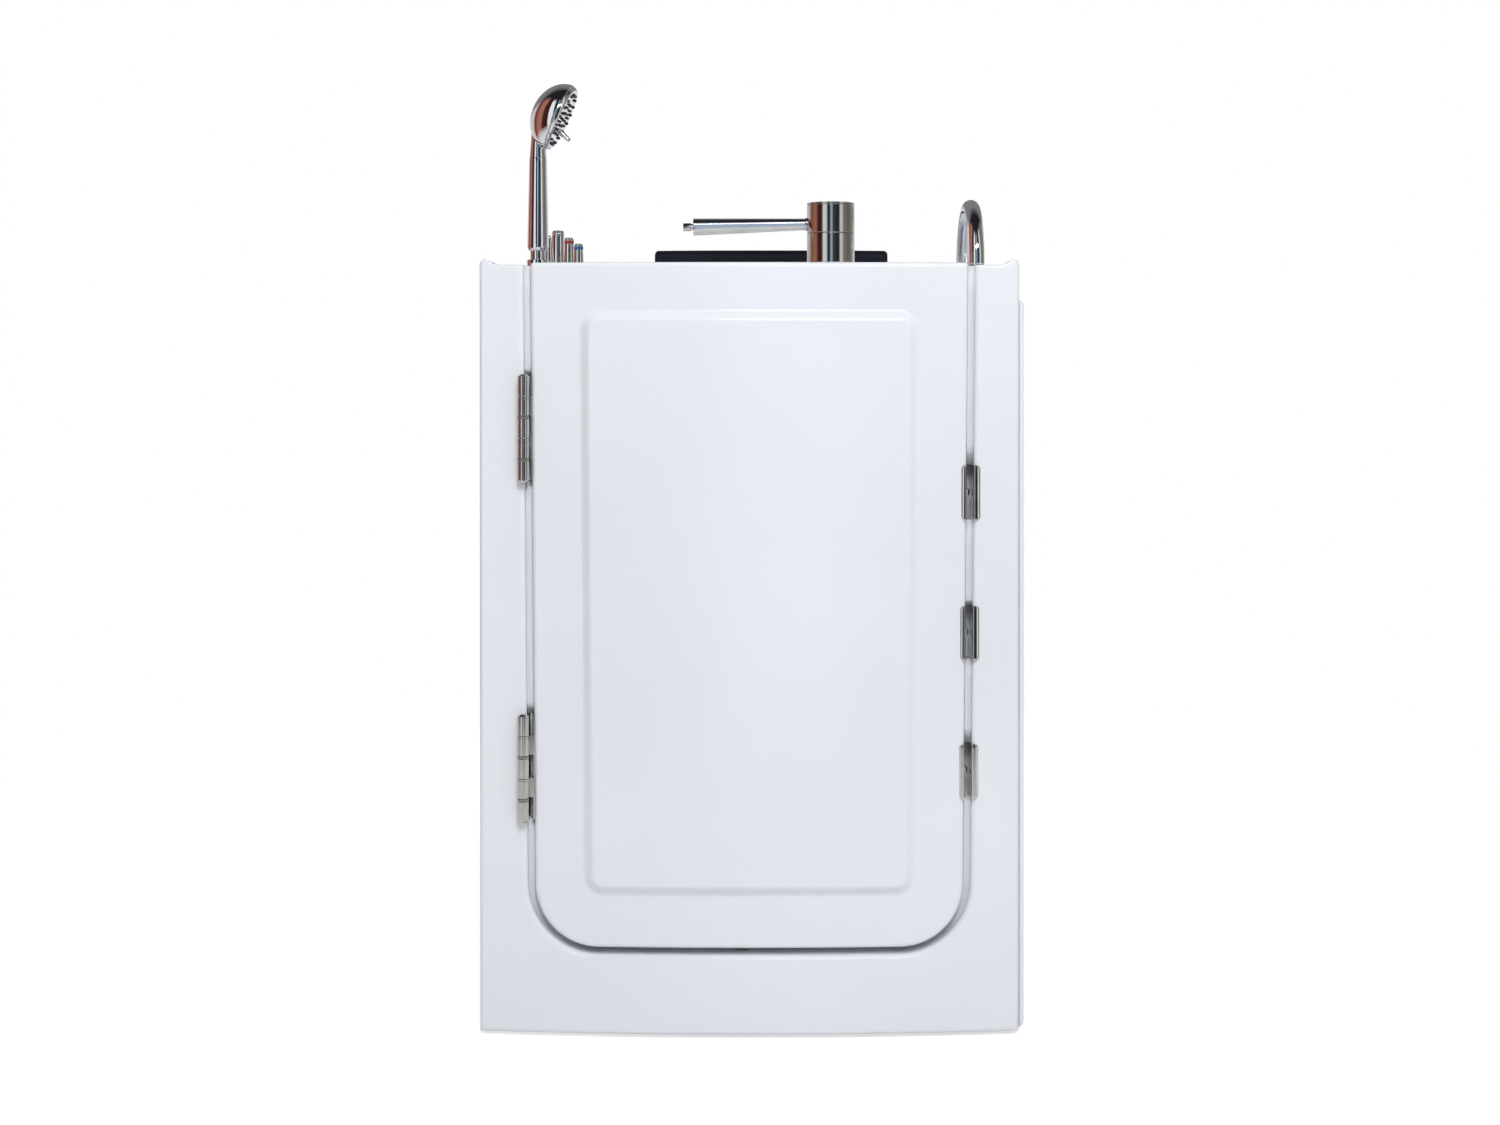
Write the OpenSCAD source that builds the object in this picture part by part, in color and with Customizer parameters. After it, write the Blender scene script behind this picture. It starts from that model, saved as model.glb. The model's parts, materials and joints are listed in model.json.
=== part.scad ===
// Walk-in bathtub with a front door, in millimetres.
// X runs to the right seen from the door end, Y runs away from the door, Z is up.
// The origin is on the floor, in the middle of the whole bathtub's outline.

/* [Tub] */
// Width of the tub, without the side skirt
tub_w = 686; // [660:1:760]
// Length of the tub, front bow included
tub_l = 1194; // [1150:1:1400]
// Height of the deck above the floor
rim_h = 978; // [940:1:1020]
// How far the front bows out in the middle
bow_depth = 15.5; // [8:0.5:20]
// Thickness of the moulded shell
wall = 6; // [4:0.5:8]
// Radius of the raised bead along the rim
bead_r = 7; // [5:0.5:9]
// Height of the turned-down lip under the rim
lip_h = 43; // [35:1:60]
// Gap between the floor and the front surround
floor_gap = 5; // [3:1:8]

/* [Well] */
// Width of the deck beside the well
side_deck = 87; // [84:1:92]
// How much further in the well's sides stand at its floor
well_draft = 8; // [4:1:12]
// Height of the foot floor inside
foot_z = 76; // [70:1:90]
// Height of the seat
seat_z = 470; // [430:1:500]
// Distance from the front to the seat's front
seat_y = 600; // [560:1:640]
// Depth of the rear deck behind the backrest
rear_deck = 110; // [100:1:130]

/* [Door] */
// Width of the surround beside the door at the top
post_top = 56.5; // [54:0.5:60]
// Width of the surround beside the door at the bottom
post_bottom = 63.5; // [61:0.5:68]
// Height of the door's bottom edge
door_z = 118; // [110:1:140]
// How far the door's top stands above the deck
door_rise = 3; // [0:0.5:4]
// Depth of the door's outer half
door_d = 46; // [44:1:50]
// Radius of the door's bottom corners
door_corner_r = 80; // [60:1:100]
// Gap between the door and the surround
door_gap = 9; // [8.5:0.5:10]
// How far the sealing flange reaches in behind the door
flange_reach = 34; // [32:1:38]
// Thickness of the door's skins
skin = 5; // [4:0.5:6]
// How far the inner half of the door reaches into the tub
plug_d = 28; // [24:1:34]
// Clearance between the door's inner half and the flange
plug_gap = 6; // [5:0.5:8]
// Thickness of the door seal
seal_t = 4; // [3:0.5:6]
// Gap between the door and the soft strips beside it
strip_gap = 3.5; // [3:0.5:5]
// How far the raised panel stands out
panel_proud = 7; // [4:0.5:9]
// Width of the raised panel
panel_w = 416; // [380:1:440]
// Distance from the door's top to the raised panel
panel_top = 64; // [50:1:90]
// Distance from the door's bottom to the raised panel
panel_bottom = 70; // [60:1:100]

/* [Hinges] */
// Distance of the hinge axis from the tub's side
hinge_inset = 58; // [56:0.5:59]
// Diameter of the hinge barrels
barrel_d = 14.5; // [13:0.5:15]
// Diameter of the hinge pins
hinge_pin_d = 6; // [5:0.5:7]
// Length of a hinge
hinge_len = 132; // [110:1:140]
// Height of the upper hinge's middle
upper_hinge_z = 771; // [740:1:800]
// Height of the lower hinge's middle
lower_hinge_z = 342; // [320:1:360]
// Thickness of the hinge leaves
leaf_t = 2.5; // [2:0.5:3]

/* [Lock] */
// Distance of the lever's axis right of the middle
lever_x = 104; // [90:1:115]
// Diameter of the lever's cylinder
lever_d = 61; // [54:1:64]
// Height of the lever's fixed base
lever_base_h = 38; // [34:1:44]
// Height of the lever's turning head
lever_head_h = 36; // [32:1:40]
// Length of the lever's arm from the axis
lever_len = 176; // [150:1:190]
// Diameter of the lock shaft
shaft_d = 12; // [10:0.5:13]
// Radius of the cranks
crank_r = 16; // [15:0.5:17]
// Diameter of the crank pins
crank_pin_d = 6; // [5:0.5:7]
// Angle that the lever turns
lock_turn = 60; // [50:1:60]
// Diameter of the bolts
bolt_d = 12; // [10:0.5:13]
// Heights of the three bolts
bolt_heights = [336, 511, 689];
// How far a drawn bolt still stands out of the door
bolt_stand = 5.5; // [4.5:0.5:6]
// Height of the latch plates
plate_h = 70; // [60:1:76]
// Clearance of a shaft that turns or slides
run_gap = 0.06; // [0.02:0.01:0.09]

/* [Fittings] */
// Distance of the taps from the tub's side
tap_inset = 58; // [54:1:60]
// Height of the tap knobs above the deck
tap_h = 70; // [60:1:80]
// Distances of the three taps from the front
tap_y = [364, 503, 635];
// Distance of the hand shower from the front
shower_y = 144; // [130:1:170]
// Diameter of the shower head's face
spray_d = 94; // [84:1:100]
// Distance of the drain lever from the front
drain_lever_y = 262; // [250:1:275]
// Distance of the grab bar from the tub's side
grab_inset = 43; // [40:1:50]
// Distance between the grab bar's legs
grab_span = 160; // [140:1:200]
// Diameter of the grab bar
grab_d = 22; // [18:1:25]
// Width of the headrest
headrest_w = 428; // [380:1:440]
// Height of the headrest
headrest_h = 87; // [70:1:100]
// Diameter of the drain hole in the foot floor
drain_d = 50; // [44:1:54]

/* [Skirt and frame] */
// How far the side skirt stands out
skirt_proud = 7.5; // [6:0.5:12]
// Distance from the front to the side skirt
skirt_y = 30; // [25:1:40]
// Side of the frame's square tubes
tube = 30; // [25:1:32]
// Wall of the frame's tubes
tube_t = 2; // [1.5:0.5:3]
// Height of the frame's lowest tubes above the floor
frame_z = 32; // [30:1:36]
// Diameter of the feet's stems
foot_stem_d = 12; // [10:1:14]

/* [Hidden] */
$fn = 64;

// Place of the tub's front middle in the whole frame
tub_x = -skirt_proud / 2;
front_y = -(tub_l - panel_proud) / 2;

half_w = tub_w / 2;
well_w = tub_w - 2 * side_deck;
door_top_w = tub_w - 2 * (post_top + door_gap);
door_bottom_w = tub_w - 2 * (post_bottom + door_gap);
hinge_x = half_w - hinge_inset;
tap_x = half_w - tap_inset;
grab_x = half_w - grab_inset;
bow_r = (half_w * half_w + bow_depth * bow_depth) / (2 * bow_depth);
flange_y = door_d + seal_t;
shell_y = flange_y + wall;
plug_back = door_d + plug_d;
inner_rear = tub_l - rear_deck;
door_top = rim_h + door_rise;

shaft_y = 39;
bolt_y = shaft_y - crank_r * (1 + cos(lock_turn / 2)) / 2;
bolt_travel = 2 * crank_r * sin(lock_turn / 2);
rest_crank = 270 - lock_turn / 2;
hinge_y = bow(hinge_x) - barrel_d / 2 - 0.35;
hinge_heights = [upper_hinge_z, lower_hinge_z];

// Half width of the door and of its opening at a height
function door_half(z) =
    door_bottom_w / 2 + (door_top_w - door_bottom_w) / 2 * (z - door_z) / (rim_h - door_z);
function open_half(z) = door_half(z) + door_gap;
// Half width of the well at a height
function well_half(z) = well_w / 2 - well_draft * (rim_h + well_over - z) / (rim_h + well_over - foot_z);
// Depth of the bowed front at a distance from the middle
function bow(x) = bow_r - sqrt(bow_r * bow_r - x * x);

// How far the well's cut runs on above the deck
well_over = 30;

// Holes in the shell
drain_y = 330;
overflow_y = 210;
overflow_z = rim_h - 130;
overflow_hole_d = 40;
spout_z = rim_h - 110;
spout_hole_d = 22;
tap_hole_d = 24;
lever_hole_d = 14;
panel_corner_r = 18;
weep_x = -10;
weep_y = 30;
weep_d = 16;

// Outer faces of the frame, its feet and the skirt's screws
frame_inset = 11.5;
weld_gap = 0.05;
frame_front = shell_y + 20;
frame_rear = tub_l - 24;
foot_y = [frame_front + tube / 2, seat_y + 56, frame_rear - tube / 2];
foot_x = half_w - frame_inset - tube / 2;
skirt_screw_y = [frame_front + tube / 2, frame_rear - tube / 2];
skirt_screw_z = [140, rim_h - lip_h - 60];

// One hinge: five knuckles, with bearing washers under the second and fourth
washer_t = 3;
knuckle_gap = 0.4;
knuckle_h = (hinge_len - 2 * washer_t - 6 * knuckle_gap) / 5;
function knuckle_z(i) =
    hinge_len / 2 - (i + 1) * knuckle_h - i * knuckle_gap
    - (i > 1 ? washer_t + knuckle_gap : 0) - (i > 3 ? washer_t + knuckle_gap : 0);
leaf_y0 = bow(hinge_x) + 0.7;
leaf_y1 = leaf_y0 + 32;
leaf_inset = 1;
screw_d = 4;
web_y = bow(hinge_x) - leaf_t - 0.9;

// Lock shaft, cranks and lever
crank_h = 6;
guide_len = 40;
crank_lift = 3.4;
shaft_z0 = bolt_heights[0] - 26;
bearing_z = [bolt_heights[0] - 22, (bolt_heights[1] + bolt_heights[2]) / 2, rim_h - 40];
arm_z = door_top + lever_base_h + 13;
arm_tilt = 1.4;

// Hand shower, whose head looks into the tub and down
holder_h = 14;
socket_d = 19;
handle_z = rim_h + 26;
handle_len = 124;
face_tilt = 115.3;
face_x = 29.2 - tap_x;
face_z = handle_z + handle_len + 53.8;
dome_d = 37.5;

valve_h = 62;
supply_y = tub_l - 120;
supply_z = 260;
waste_z = 42;
waste_d = 40;
waste_end = 800;
drain_low = waste_z + waste_d / 2 + 0.5;
grab_y = 126;
headrest_d = 74;
headrest_x = 20;
headrest_back = 36;

white = [0.93, 0.94, 0.96];
steel = [0.72, 0.71, 0.69];
chrome = [0.85, 0.86, 0.88];

// Points of a polygon whose corners [x, y, r] are rounded
function turned(p, q) = let (d = q - p) d / norm(d);
function corner_arc(a, b, c, r, steps) =
    let (
        u = turned(b, a), v = turned(b, c),
        half = acos(max(-1, min(1, u * v))) / 2,
        centre = b + turned([0, 0], u + v) * r / sin(half),
        first = b + u * r / tan(half) - centre,
        side = u[0] * v[1] - u[1] * v[0] > 0 ? -1 : 1,
        sweep = side * (180 - 2 * half)
    )
    [for (i = [0:steps]) let (t = sweep * i / steps)
        centre + [first[0] * cos(t) - first[1] * sin(t), first[0] * sin(t) + first[1] * cos(t)]];
function rounded(pts, steps = 8) =
    let (n = len(pts))
    [for (i = [0:n - 1])
        let (
            a = pts[(i + n - 1) % n], b = pts[i], c = pts[(i + 1) % n],
            pa = [a[0], a[1]], pb = [b[0], b[1]], pc = [c[0], c[1]]
        )
        each (b[2] > 0 ? corner_arc(pa, pb, pc, b[2], steps) : [pb])];

// Draws its children in the tub's place
module in_place() {
    translate([tub_x, front_y, 0]) children();
}

// Extrudes an outline drawn in X and Z along Y, from y0 to y1
module along_y(y0, y1) {
    translate([0, y1, 0]) rotate([90, 0, 0]) linear_extrude(height = y1 - y0) children();
}

// Extrudes an outline drawn in Y and Z along X, from x0 to x1
module along_x(x0, x1) {
    translate([x0, 0, 0]) rotate([90, 0, 90]) linear_extrude(height = x1 - x0) children();
}

// Everything behind the bowed front, moved back by a depth
module behind_bow(depth) {
    translate([0, bow_r, -50]) cylinder(r = bow_r - depth, h = rim_h + 200, $fn = 360);
}

// U-shaped outline with tapered sides and round bottom corners
module u_outline(half_top, half_bottom, z0, z1, r) {
    polygon(rounded([
        [-half_top, z1, 0], [half_top, z1, 0], [half_bottom, z0, r], [-half_bottom, z0, r]
    ], 12));
}

// The door's outline, grown or shrunk, with its top at z1
module door_outline(grow, z1) {
    u_outline(door_half(z1) + grow, door_bottom_w / 2 + grow, door_z - grow, z1, door_corner_r + grow);
}

module rod_x(d, x0, x1, y, z) {
    translate([x0, y, z]) rotate([0, 90, 0]) cylinder(d = d, h = x1 - x0);
}
module rod_y(d, y0, y1, x, z) {
    translate([x, y0, z]) rotate([-90, 0, 0]) cylinder(d = d, h = y1 - y0);
}

// Side view of the well, grown outwards by a wall
module well_side(grow) {
    top = rim_h + (grow > 0 ? 0 : 20);
    polygon(rounded([
        [shell_y + wall - grow, top, 0],
        [shell_y + wall - grow, foot_z - grow, 40],
        [seat_y + grow, foot_z - grow, 60 + grow],
        [seat_y + 25 + grow, seat_z - grow, 40 - grow],
        [inner_rear - 70 + grow, seat_z - 12 - grow, 70 + grow],
        [inner_rear + grow, rim_h - 60, 90],
        [inner_rear + grow, top, 0]
    ]));
}

// Front view of the well, grown outwards by a wall
module well_front(grow) {
    top = rim_h + well_over;
    half_top = well_w / 2 + grow;
    half_floor = half_top - well_draft;
    polygon(rounded([
        [-half_top, top, 0], [half_top, top, 0],
        [half_floor, foot_z - grow, 70 + grow], [-half_floor, foot_z - grow, 70 + grow]
    ]));
}

module well(grow) {
    intersection() {
        along_x(-half_w, half_w) well_side(grow);
        along_y(0, tub_l) well_front(grow);
    }
}

module tub_shell() {
    color(white) difference() {
        union() {
            well(wall);
            // deck
            translate([-half_w, shell_y, rim_h - wall]) cube([tub_w, tub_l - shell_y, wall]);
            // turned-down lips, left, right and rear
            for (s = [-1, 1])
                translate([s * (half_w - wall / 2) - wall / 2, shell_y, rim_h - lip_h])
                    cube([wall, tub_l - shell_y, lip_h]);
            translate([-half_w, tub_l - wall, rim_h - lip_h]) cube([tub_w, wall, lip_h]);
            // raised bead
            for (s = [-1, 1]) rod_y(2 * bead_r, shell_y, tub_l - bead_r, s * (half_w - bead_r), rim_h);
            rod_x(2 * bead_r, -half_w + bead_r, half_w - bead_r, tub_l - bead_r, rim_h);
            for (s = [-1, 1])
                translate([s * (half_w - bead_r), tub_l - bead_r, rim_h]) sphere(r = bead_r);
        }
        well(0);
        // doorway
        along_y(shell_y - 1, shell_y + wall + 1)
            door_outline(door_gap - flange_reach, rim_h + 1);
        // drain, overflow, taps, shower, spout and drain lever
        translate([0, drain_y, foot_z - 2 * wall]) cylinder(d = drain_d, h = 4 * wall);
        rod_x(overflow_hole_d, -half_w + lip_h, 0, overflow_y, overflow_z);
        rod_x(spout_hole_d, -half_w + lip_h, 0, tap_y[0], spout_z);
        for (y = tap_y) translate([-tap_x, y, rim_h - 2 * wall]) cylinder(d = tap_hole_d, h = 4 * wall);
        translate([-tap_x, shower_y, rim_h - 2 * wall]) cylinder(d = tap_hole_d, h = 4 * wall);
        translate([-tap_x, drain_lever_y, rim_h - 2 * wall]) cylinder(d = lever_hole_d, h = 4 * wall);
        for (s = [0, 1]) translate([grab_x, grab_y + s * grab_span, rim_h - 2 * wall])
            cylinder(d = grab_d + 0.4, h = 4 * wall);
    }
}

module front_surround() {
    color(white) difference() {
        union() {
            intersection() {
                along_y(-1, shell_y) polygon([
                    [-half_w, rim_h], [half_w, rim_h],
                    [half_w - 1, floor_gap], [-half_w + 1, floor_gap]
                ]);
                behind_bow(0);
            }
            for (s = [-1, 1])
                rod_y(2 * bead_r, bow(half_w) + 4, shell_y, s * (half_w - bead_r), rim_h);
        }
        along_y(-2, flange_y) door_outline(door_gap, rim_h + 20);
        along_y(0, shell_y + 1) door_outline(door_gap - flange_reach, rim_h + 20);
        // hollow behind the skin
        difference() {
            intersection() {
                along_y(0, shell_y + 1) polygon([
                    [-half_w + wall, rim_h - wall], [half_w - wall, rim_h - wall],
                    [half_w - wall - 1, floor_gap - 1], [-half_w + wall + 1, floor_gap - 1]
                ]);
                behind_bow(wall);
            }
            along_y(-1, shell_y + 2) door_outline(door_gap + wall, rim_h + 30);
        }
        // weep hole in the ledge, keeper holes and hinge pockets
        translate([weep_x, weep_y, door_z - door_gap - 2 * wall]) cylinder(d = weep_d, h = 4 * wall);
        for (z = bolt_heights)
            rod_x(bolt_d + 1, open_half(z) - 2, open_half(z) + 2 * wall, bolt_y, z);
        for (z = hinge_heights) {
            frame_leaf_blank(z, 0.15, 3);
            leaf_screws(-open_half(z) - 10, -open_half(z), z, screw_d + 0.2);
        }
    }
}

module side_skirt() {
    depth = skirt_proud + wall;
    z0 = floor_gap;
    z1 = rim_h - lip_h;
    r = 9;
    color(white) translate([half_w - wall, skirt_y, 0]) difference() {
        along_y(0, tub_l - 14 - skirt_y) polygon(rounded([
            [0, z0, 0], [depth, z0, r], [depth, z1, r], [0, z1, 0]
        ]));
        along_y(wall, tub_l - 14 - skirt_y - wall) polygon(rounded([
            [-1, z0 + wall, 0], [depth - wall, z0 + wall, 4],
            [depth - wall, z1 - wall, 4], [-1, z1 - wall, 0]
        ]));
        translate([-1, -1, 0]) cube([wall + 1.3, shell_y - skirt_y + 1, rim_h]);
        for (y = skirt_screw_y, z = skirt_screw_z) {
            rod_x(6.5, 0, depth + 1, y - skirt_y, z);
            rod_x(13, depth - 3, depth + 1, y - skirt_y, z);
        }
    }
}

module skirt_screws() {
    x1 = half_w + skirt_proud;
    color(chrome) for (y = skirt_screw_y, z = skirt_screw_z) {
        rod_x(6, half_w - frame_inset - tube / 2, x1 - 2, y, z);
        rod_x(12.4, x1 - 3, x1 - 0.2, y, z);
    }
}

// Square tube along its longest side, or the hollow inside it, open at both ends
module tube_box(from, size, inner) {
    t = [for (d = size) inner ? (d > tube ? -weld_gap / 2 : tube_t) : 0];
    translate(from + t) cube(size - 2 * t);
}

// Every tube of the frame, each a welding gap away from the next
module frame_tubes(inner) {
    rail_z = rim_h - wall - tube;
    post_z = frame_z + tube + weld_gap;
    bench_z = seat_z - 12 - wall - tube;
    for (s = [-1, 1]) {
        x = s * foot_x - tube / 2;
        for (z = [frame_z, rail_z])
            tube_box([x, frame_front, z], [tube, frame_rear - frame_front, tube], inner);
        for (y = foot_y)
            tube_box([x, y - tube / 2, post_z], [tube, tube, rail_z - weld_gap - post_z], inner);
        tube_box([x, foot_y[1] + tube / 2 + weld_gap, bench_z],
            [tube, foot_y[2] - foot_y[1] - tube - 2 * weld_gap, tube], inner);
    }
    // cross members at the rear, between the middle posts and between the bench rails
    x = foot_x - tube / 2 - weld_gap;
    for (at = [
        [foot_y[2] - tube / 2, frame_z + tube + 40],
        [foot_y[1] - tube / 2, bench_z],
        [inner_rear - 120, bench_z]
    ])
        tube_box([-x, at[0], at[1]], [2 * x, tube, tube], inner);
}

module support_frame() {
    color(steel) difference() {
        frame_tubes(false);
        frame_tubes(true);
        for (y = skirt_screw_y, z = skirt_screw_z)
            rod_x(6, foot_x, foot_x + tube, y, z);
        // holes for the feet's stems
        for (s = [-1, 1], y = foot_y)
            translate([s * foot_x, y, frame_z - 1]) cylinder(d = foot_stem_d, h = tube_t + 2);
    }
}

module leveling_feet() {
    color(steel) for (s = [-1, 1], y = foot_y) translate([s * foot_x, y, 0]) {
        cylinder(r1 = 18, r2 = 17, h = 5);
        translate([0, 0, 5]) cylinder(r1 = 17, r2 = 9, h = 6);
        translate([0, 0, 10]) cylinder(d = foot_stem_d, h = frame_z + tube / 2 - 10);
    }
}

module foot_lock_nuts() {
    color(steel) for (s = [-1, 1], y = foot_y) translate([s * foot_x, y, frame_z - 8])
        difference() {
            cylinder(r = foot_stem_d * 0.95, h = 8, $fn = 6);
            translate([0, 0, -1]) cylinder(d = foot_stem_d, h = 10);
        }
}

module door_outer_skin() {
    color(white) difference() {
        union() {
            intersection() {
                along_y(-1, door_d) door_outline(0, door_top);
                behind_bow(0);
            }
            intersection() {
                along_y(-panel_proud - 1, bow_depth) panel_outline(0);
                behind_bow(-panel_proud);
            }
        }
        // hollow, open at the back
        intersection() {
            along_y(0, door_d + 1) door_outline(-skin, door_top - skin);
            behind_bow(skin);
        }
        intersection() {
            along_y(-panel_proud, door_d / 2) panel_outline(-skin);
            behind_bow(skin - panel_proud);
        }
        // shaft hole in the top, bolt holes and hinge pockets in the sides
        translate([lever_x, shaft_y, door_top - 2 * skin]) cylinder(d = shaft_d + 1, h = 3 * skin);
        for (z = bolt_heights)
            rod_x(bolt_d + 0.6, door_half(z) - 2 * skin, door_half(z) + 2, bolt_y, z);
        for (z = hinge_heights) {
            door_leaf_blank(z, 0.15, 3);
            leaf_screws(-door_half(z), -door_half(z) + 10, z, screw_d + 0.2);
        }
    }
}

// The raised panel's outline, tapered with the door and grown or shrunk
module panel_outline(grow) {
    z0 = door_z + panel_bottom;
    z1 = rim_h - panel_top;
    top = panel_w / 2 + grow;
    bottom = top - door_half(z1) + door_half(z0);
    r = panel_corner_r + grow;
    polygon(rounded([
        [-top, z1 + grow, r], [top, z1 + grow, r], [bottom, z0 - grow, r], [-bottom, z0 - grow, r]
    ]));
}

module door_inner_skin() {
    shrink = door_gap - flange_reach - plug_gap;
    color(white) difference() {
        union() {
            along_y(door_d - skin, door_d) door_outline(-skin - 0.2, door_top - skin - 0.2);
            along_y(door_d - skin, plug_back) door_outline(shrink, door_top);
        }
        along_y(door_d - skin - 1, plug_back - skin) door_outline(shrink - skin, door_top - skin);
        translate([-tub_w, 0, door_top - skin - 0.2]) cube([2 * tub_w, door_d, 2 * skin]);
    }
}

module door_seal() {
    outer = -3;
    inner = -13;
    color([0.75, 0.76, 0.78]) difference() {
        along_y(door_d, flange_y - 0.3) door_outline(outer, rim_h - 2);
        along_y(door_d - 1, flange_y) door_outline(inner, rim_h + 1);
    }
}

// Soft strips down both sides of the doorway, left out at the hinges and the bolts
module doorway_strips() {
    y0 = bow_depth + 7;
    z0 = door_z + door_corner_r;
    space = 3;
    color([0.85, 0.86, 0.88]) difference() {
        along_y(y0, flange_y - 0.3) difference() {
            door_outline(door_gap - 0.1, rim_h - 1);
            door_outline(strip_gap, rim_h + 1);
        }
        translate([-half_w, 0, 0]) cube([tub_w, shell_y, z0]);
        for (z = hinge_heights) translate([-half_w, 0, z - hinge_len / 2 - space])
            cube([half_w, shell_y, hinge_len + 2 * space]);
        for (z = bolt_heights) translate([0, 0, z - plate_h / 2 - space])
            cube([half_w, shell_y, plate_h + 2 * space]);
    }
}

// Plate of the frame's leaf, let into the surround
module leaf_blank(x, z, grow, ahead) {
    translate([x - grow, leaf_y0 - ahead, z - hinge_len / 2 - grow])
        cube([leaf_t + 2 * grow, leaf_y1 - leaf_y0 + ahead + grow, hinge_len + 2 * grow]);
}
module frame_leaf_blank(z, grow, ahead) {
    leaf_blank(-open_half(z) - leaf_inset, z, grow, ahead);
}
// Plate of the door's leaf, let into the door
module door_leaf_blank(z, grow, ahead) {
    leaf_blank(-door_half(z) + leaf_inset - leaf_t, z, grow, ahead);
}
// Three screws, or their holes, in the leaf of the hinge at z
module leaf_screws(x0, x1, z, d) {
    for (dz = [-hinge_len / 3, 0, hinge_len / 3]) rod_x(d, x0, x1, leaf_y0 + 20, z + dz);
}

module hinge_frame_leaves() {
    color(steel) for (z = hinge_heights) difference() {
        union() {
            frame_leaf_blank(z, 0, 0);
            for (i = [0, 2, 4]) translate([0, 0, z + knuckle_z(i)]) {
                translate([-hinge_x, hinge_y, 0]) cylinder(d = barrel_d, h = knuckle_h);
                translate([-open_half(z) - leaf_inset, hinge_y, 0])
                    cube([leaf_t, leaf_y0 - hinge_y + 1, knuckle_h]);
            }
        }
        translate([-hinge_x, hinge_y, z - hinge_len]) cylinder(d = hinge_pin_d, h = 2 * hinge_len);
        leaf_screws(-open_half(z) - 5, -open_half(z) + 5, z, screw_d + 0.2);
    }
}

module hinge_door_leaves() {
    color(steel) for (z = hinge_heights) difference() {
        union() {
            door_leaf_blank(z, 0, 0);
            for (i = [1, 3]) translate([0, 0, z + knuckle_z(i)]) {
                translate([-hinge_x, hinge_y, 0]) cylinder(d = barrel_d, h = knuckle_h);
                translate([-hinge_x, web_y, 0])
                    cube([hinge_x - door_half(z) + leaf_inset, leaf_t, knuckle_h]);
                translate([-door_half(z) + leaf_inset - leaf_t, web_y, 0])
                    cube([leaf_t, leaf_y0 - web_y + 1, knuckle_h]);
            }
        }
        translate([-hinge_x, hinge_y, z - hinge_len])
            cylinder(d = hinge_pin_d + 2 * run_gap, h = 2 * hinge_len);
        leaf_screws(-door_half(z) - 5, -door_half(z) + 5, z, screw_d + 0.2);
    }
}

module hinge_pins() {
    color(steel) for (z = hinge_heights) translate([-hinge_x, hinge_y, z]) {
        translate([0, 0, -hinge_len / 2 - 1]) cylinder(d = hinge_pin_d, h = hinge_len + 2);
        for (s = [0, 1]) mirror([0, 0, s])
            translate([0, 0, hinge_len / 2]) cylinder(r1 = barrel_d / 2 - 0.6, r2 = 4.5, h = 2.2);
    }
}

module hinge_washers() {
    color([0.6, 0.6, 0.58]) for (z = hinge_heights, i = [1, 3])
        translate([-hinge_x, hinge_y, z + knuckle_z(i) - knuckle_gap / 2 - washer_t]) difference() {
            cylinder(d = barrel_d + 0.4, h = washer_t - knuckle_gap / 2);
            translate([0, 0, -1]) cylinder(d = hinge_pin_d, h = washer_t + 2);
        }
}

module hinge_screws() {
    color(steel) for (z = hinge_heights) leaf_screws(-open_half(z) - 9, -open_half(z) + 1.4, z, screw_d);
}
module door_hinge_screws() {
    color(steel) for (z = hinge_heights) leaf_screws(-door_half(z) - 1.4, -door_half(z) + 9, z, screw_d);
}

// Angle plate round an edge, with its round corners away from the gap
module edge_plate(front_w, side_x, dir) {
    y0 = bow(side_x) - 2.4;
    difference() {
        union() {
            along_y(y0, y0 + 1.8) polygon(rounded([
                [0, -plate_h / 2, 0], [0, plate_h / 2, 0],
                [dir * front_w, plate_h / 2, 5], [dir * front_w, -plate_h / 2, 5]
            ]));
            translate([dir > 0 ? -2 : 0, y0, -plate_h / 2]) cube([2, 28, plate_h]);
        }
        rod_x(bolt_d + 0.6, -4, 4, bolt_y, 0);
    }
}

module latch_plates() {
    color(chrome) for (z = bolt_heights) {
        x = door_half(z + plate_h / 2) + 0.05;
        translate([x, 0, z]) edge_plate(7, x, -1);
    }
}

module keeper_plates() {
    color(chrome) for (z = bolt_heights) {
        x = open_half(z - plate_h / 2) - 0.05;
        translate([x, 0, z]) edge_plate(9, x, 1);
    }
}

// A bolt: flat bar with the crank's slot, round rod and domed nose
module bolt(z) {
    nose_x = door_half(z) + bolt_stand;
    pin_x = lever_x - bolt_travel / 2;
    slot_w = crank_pin_d + 0.5;
    slot_y0 = shaft_y - crank_r - crank_pin_d / 2 - 0.8;
    slot_y1 = shaft_y - crank_r * cos(lock_turn / 2) + crank_pin_d / 2 + 0.8;
    bar_end = pin_x + 44;
    color(steel) difference() {
        union() {
            translate([pin_x - 9, slot_y0 - 3, z - 3]) cube([bar_end - pin_x + 9, slot_y1 - slot_y0 + 5, 6]);
            rod_x(bolt_d, bar_end - 10, nose_x - bolt_d / 4, bolt_y, z);
            translate([nose_x - bolt_d / 2, bolt_y, z]) sphere(d = bolt_d);
        }
        translate([pin_x - slot_w / 2, slot_y0, z - 4]) cube([slot_w, slot_y1 - slot_y0, 8]);
    }
}
module bolt_upper() { bolt(bolt_heights[2]); }
module bolt_middle() { bolt(bolt_heights[1]); }
module bolt_lower() { bolt(bolt_heights[0]); }

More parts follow.
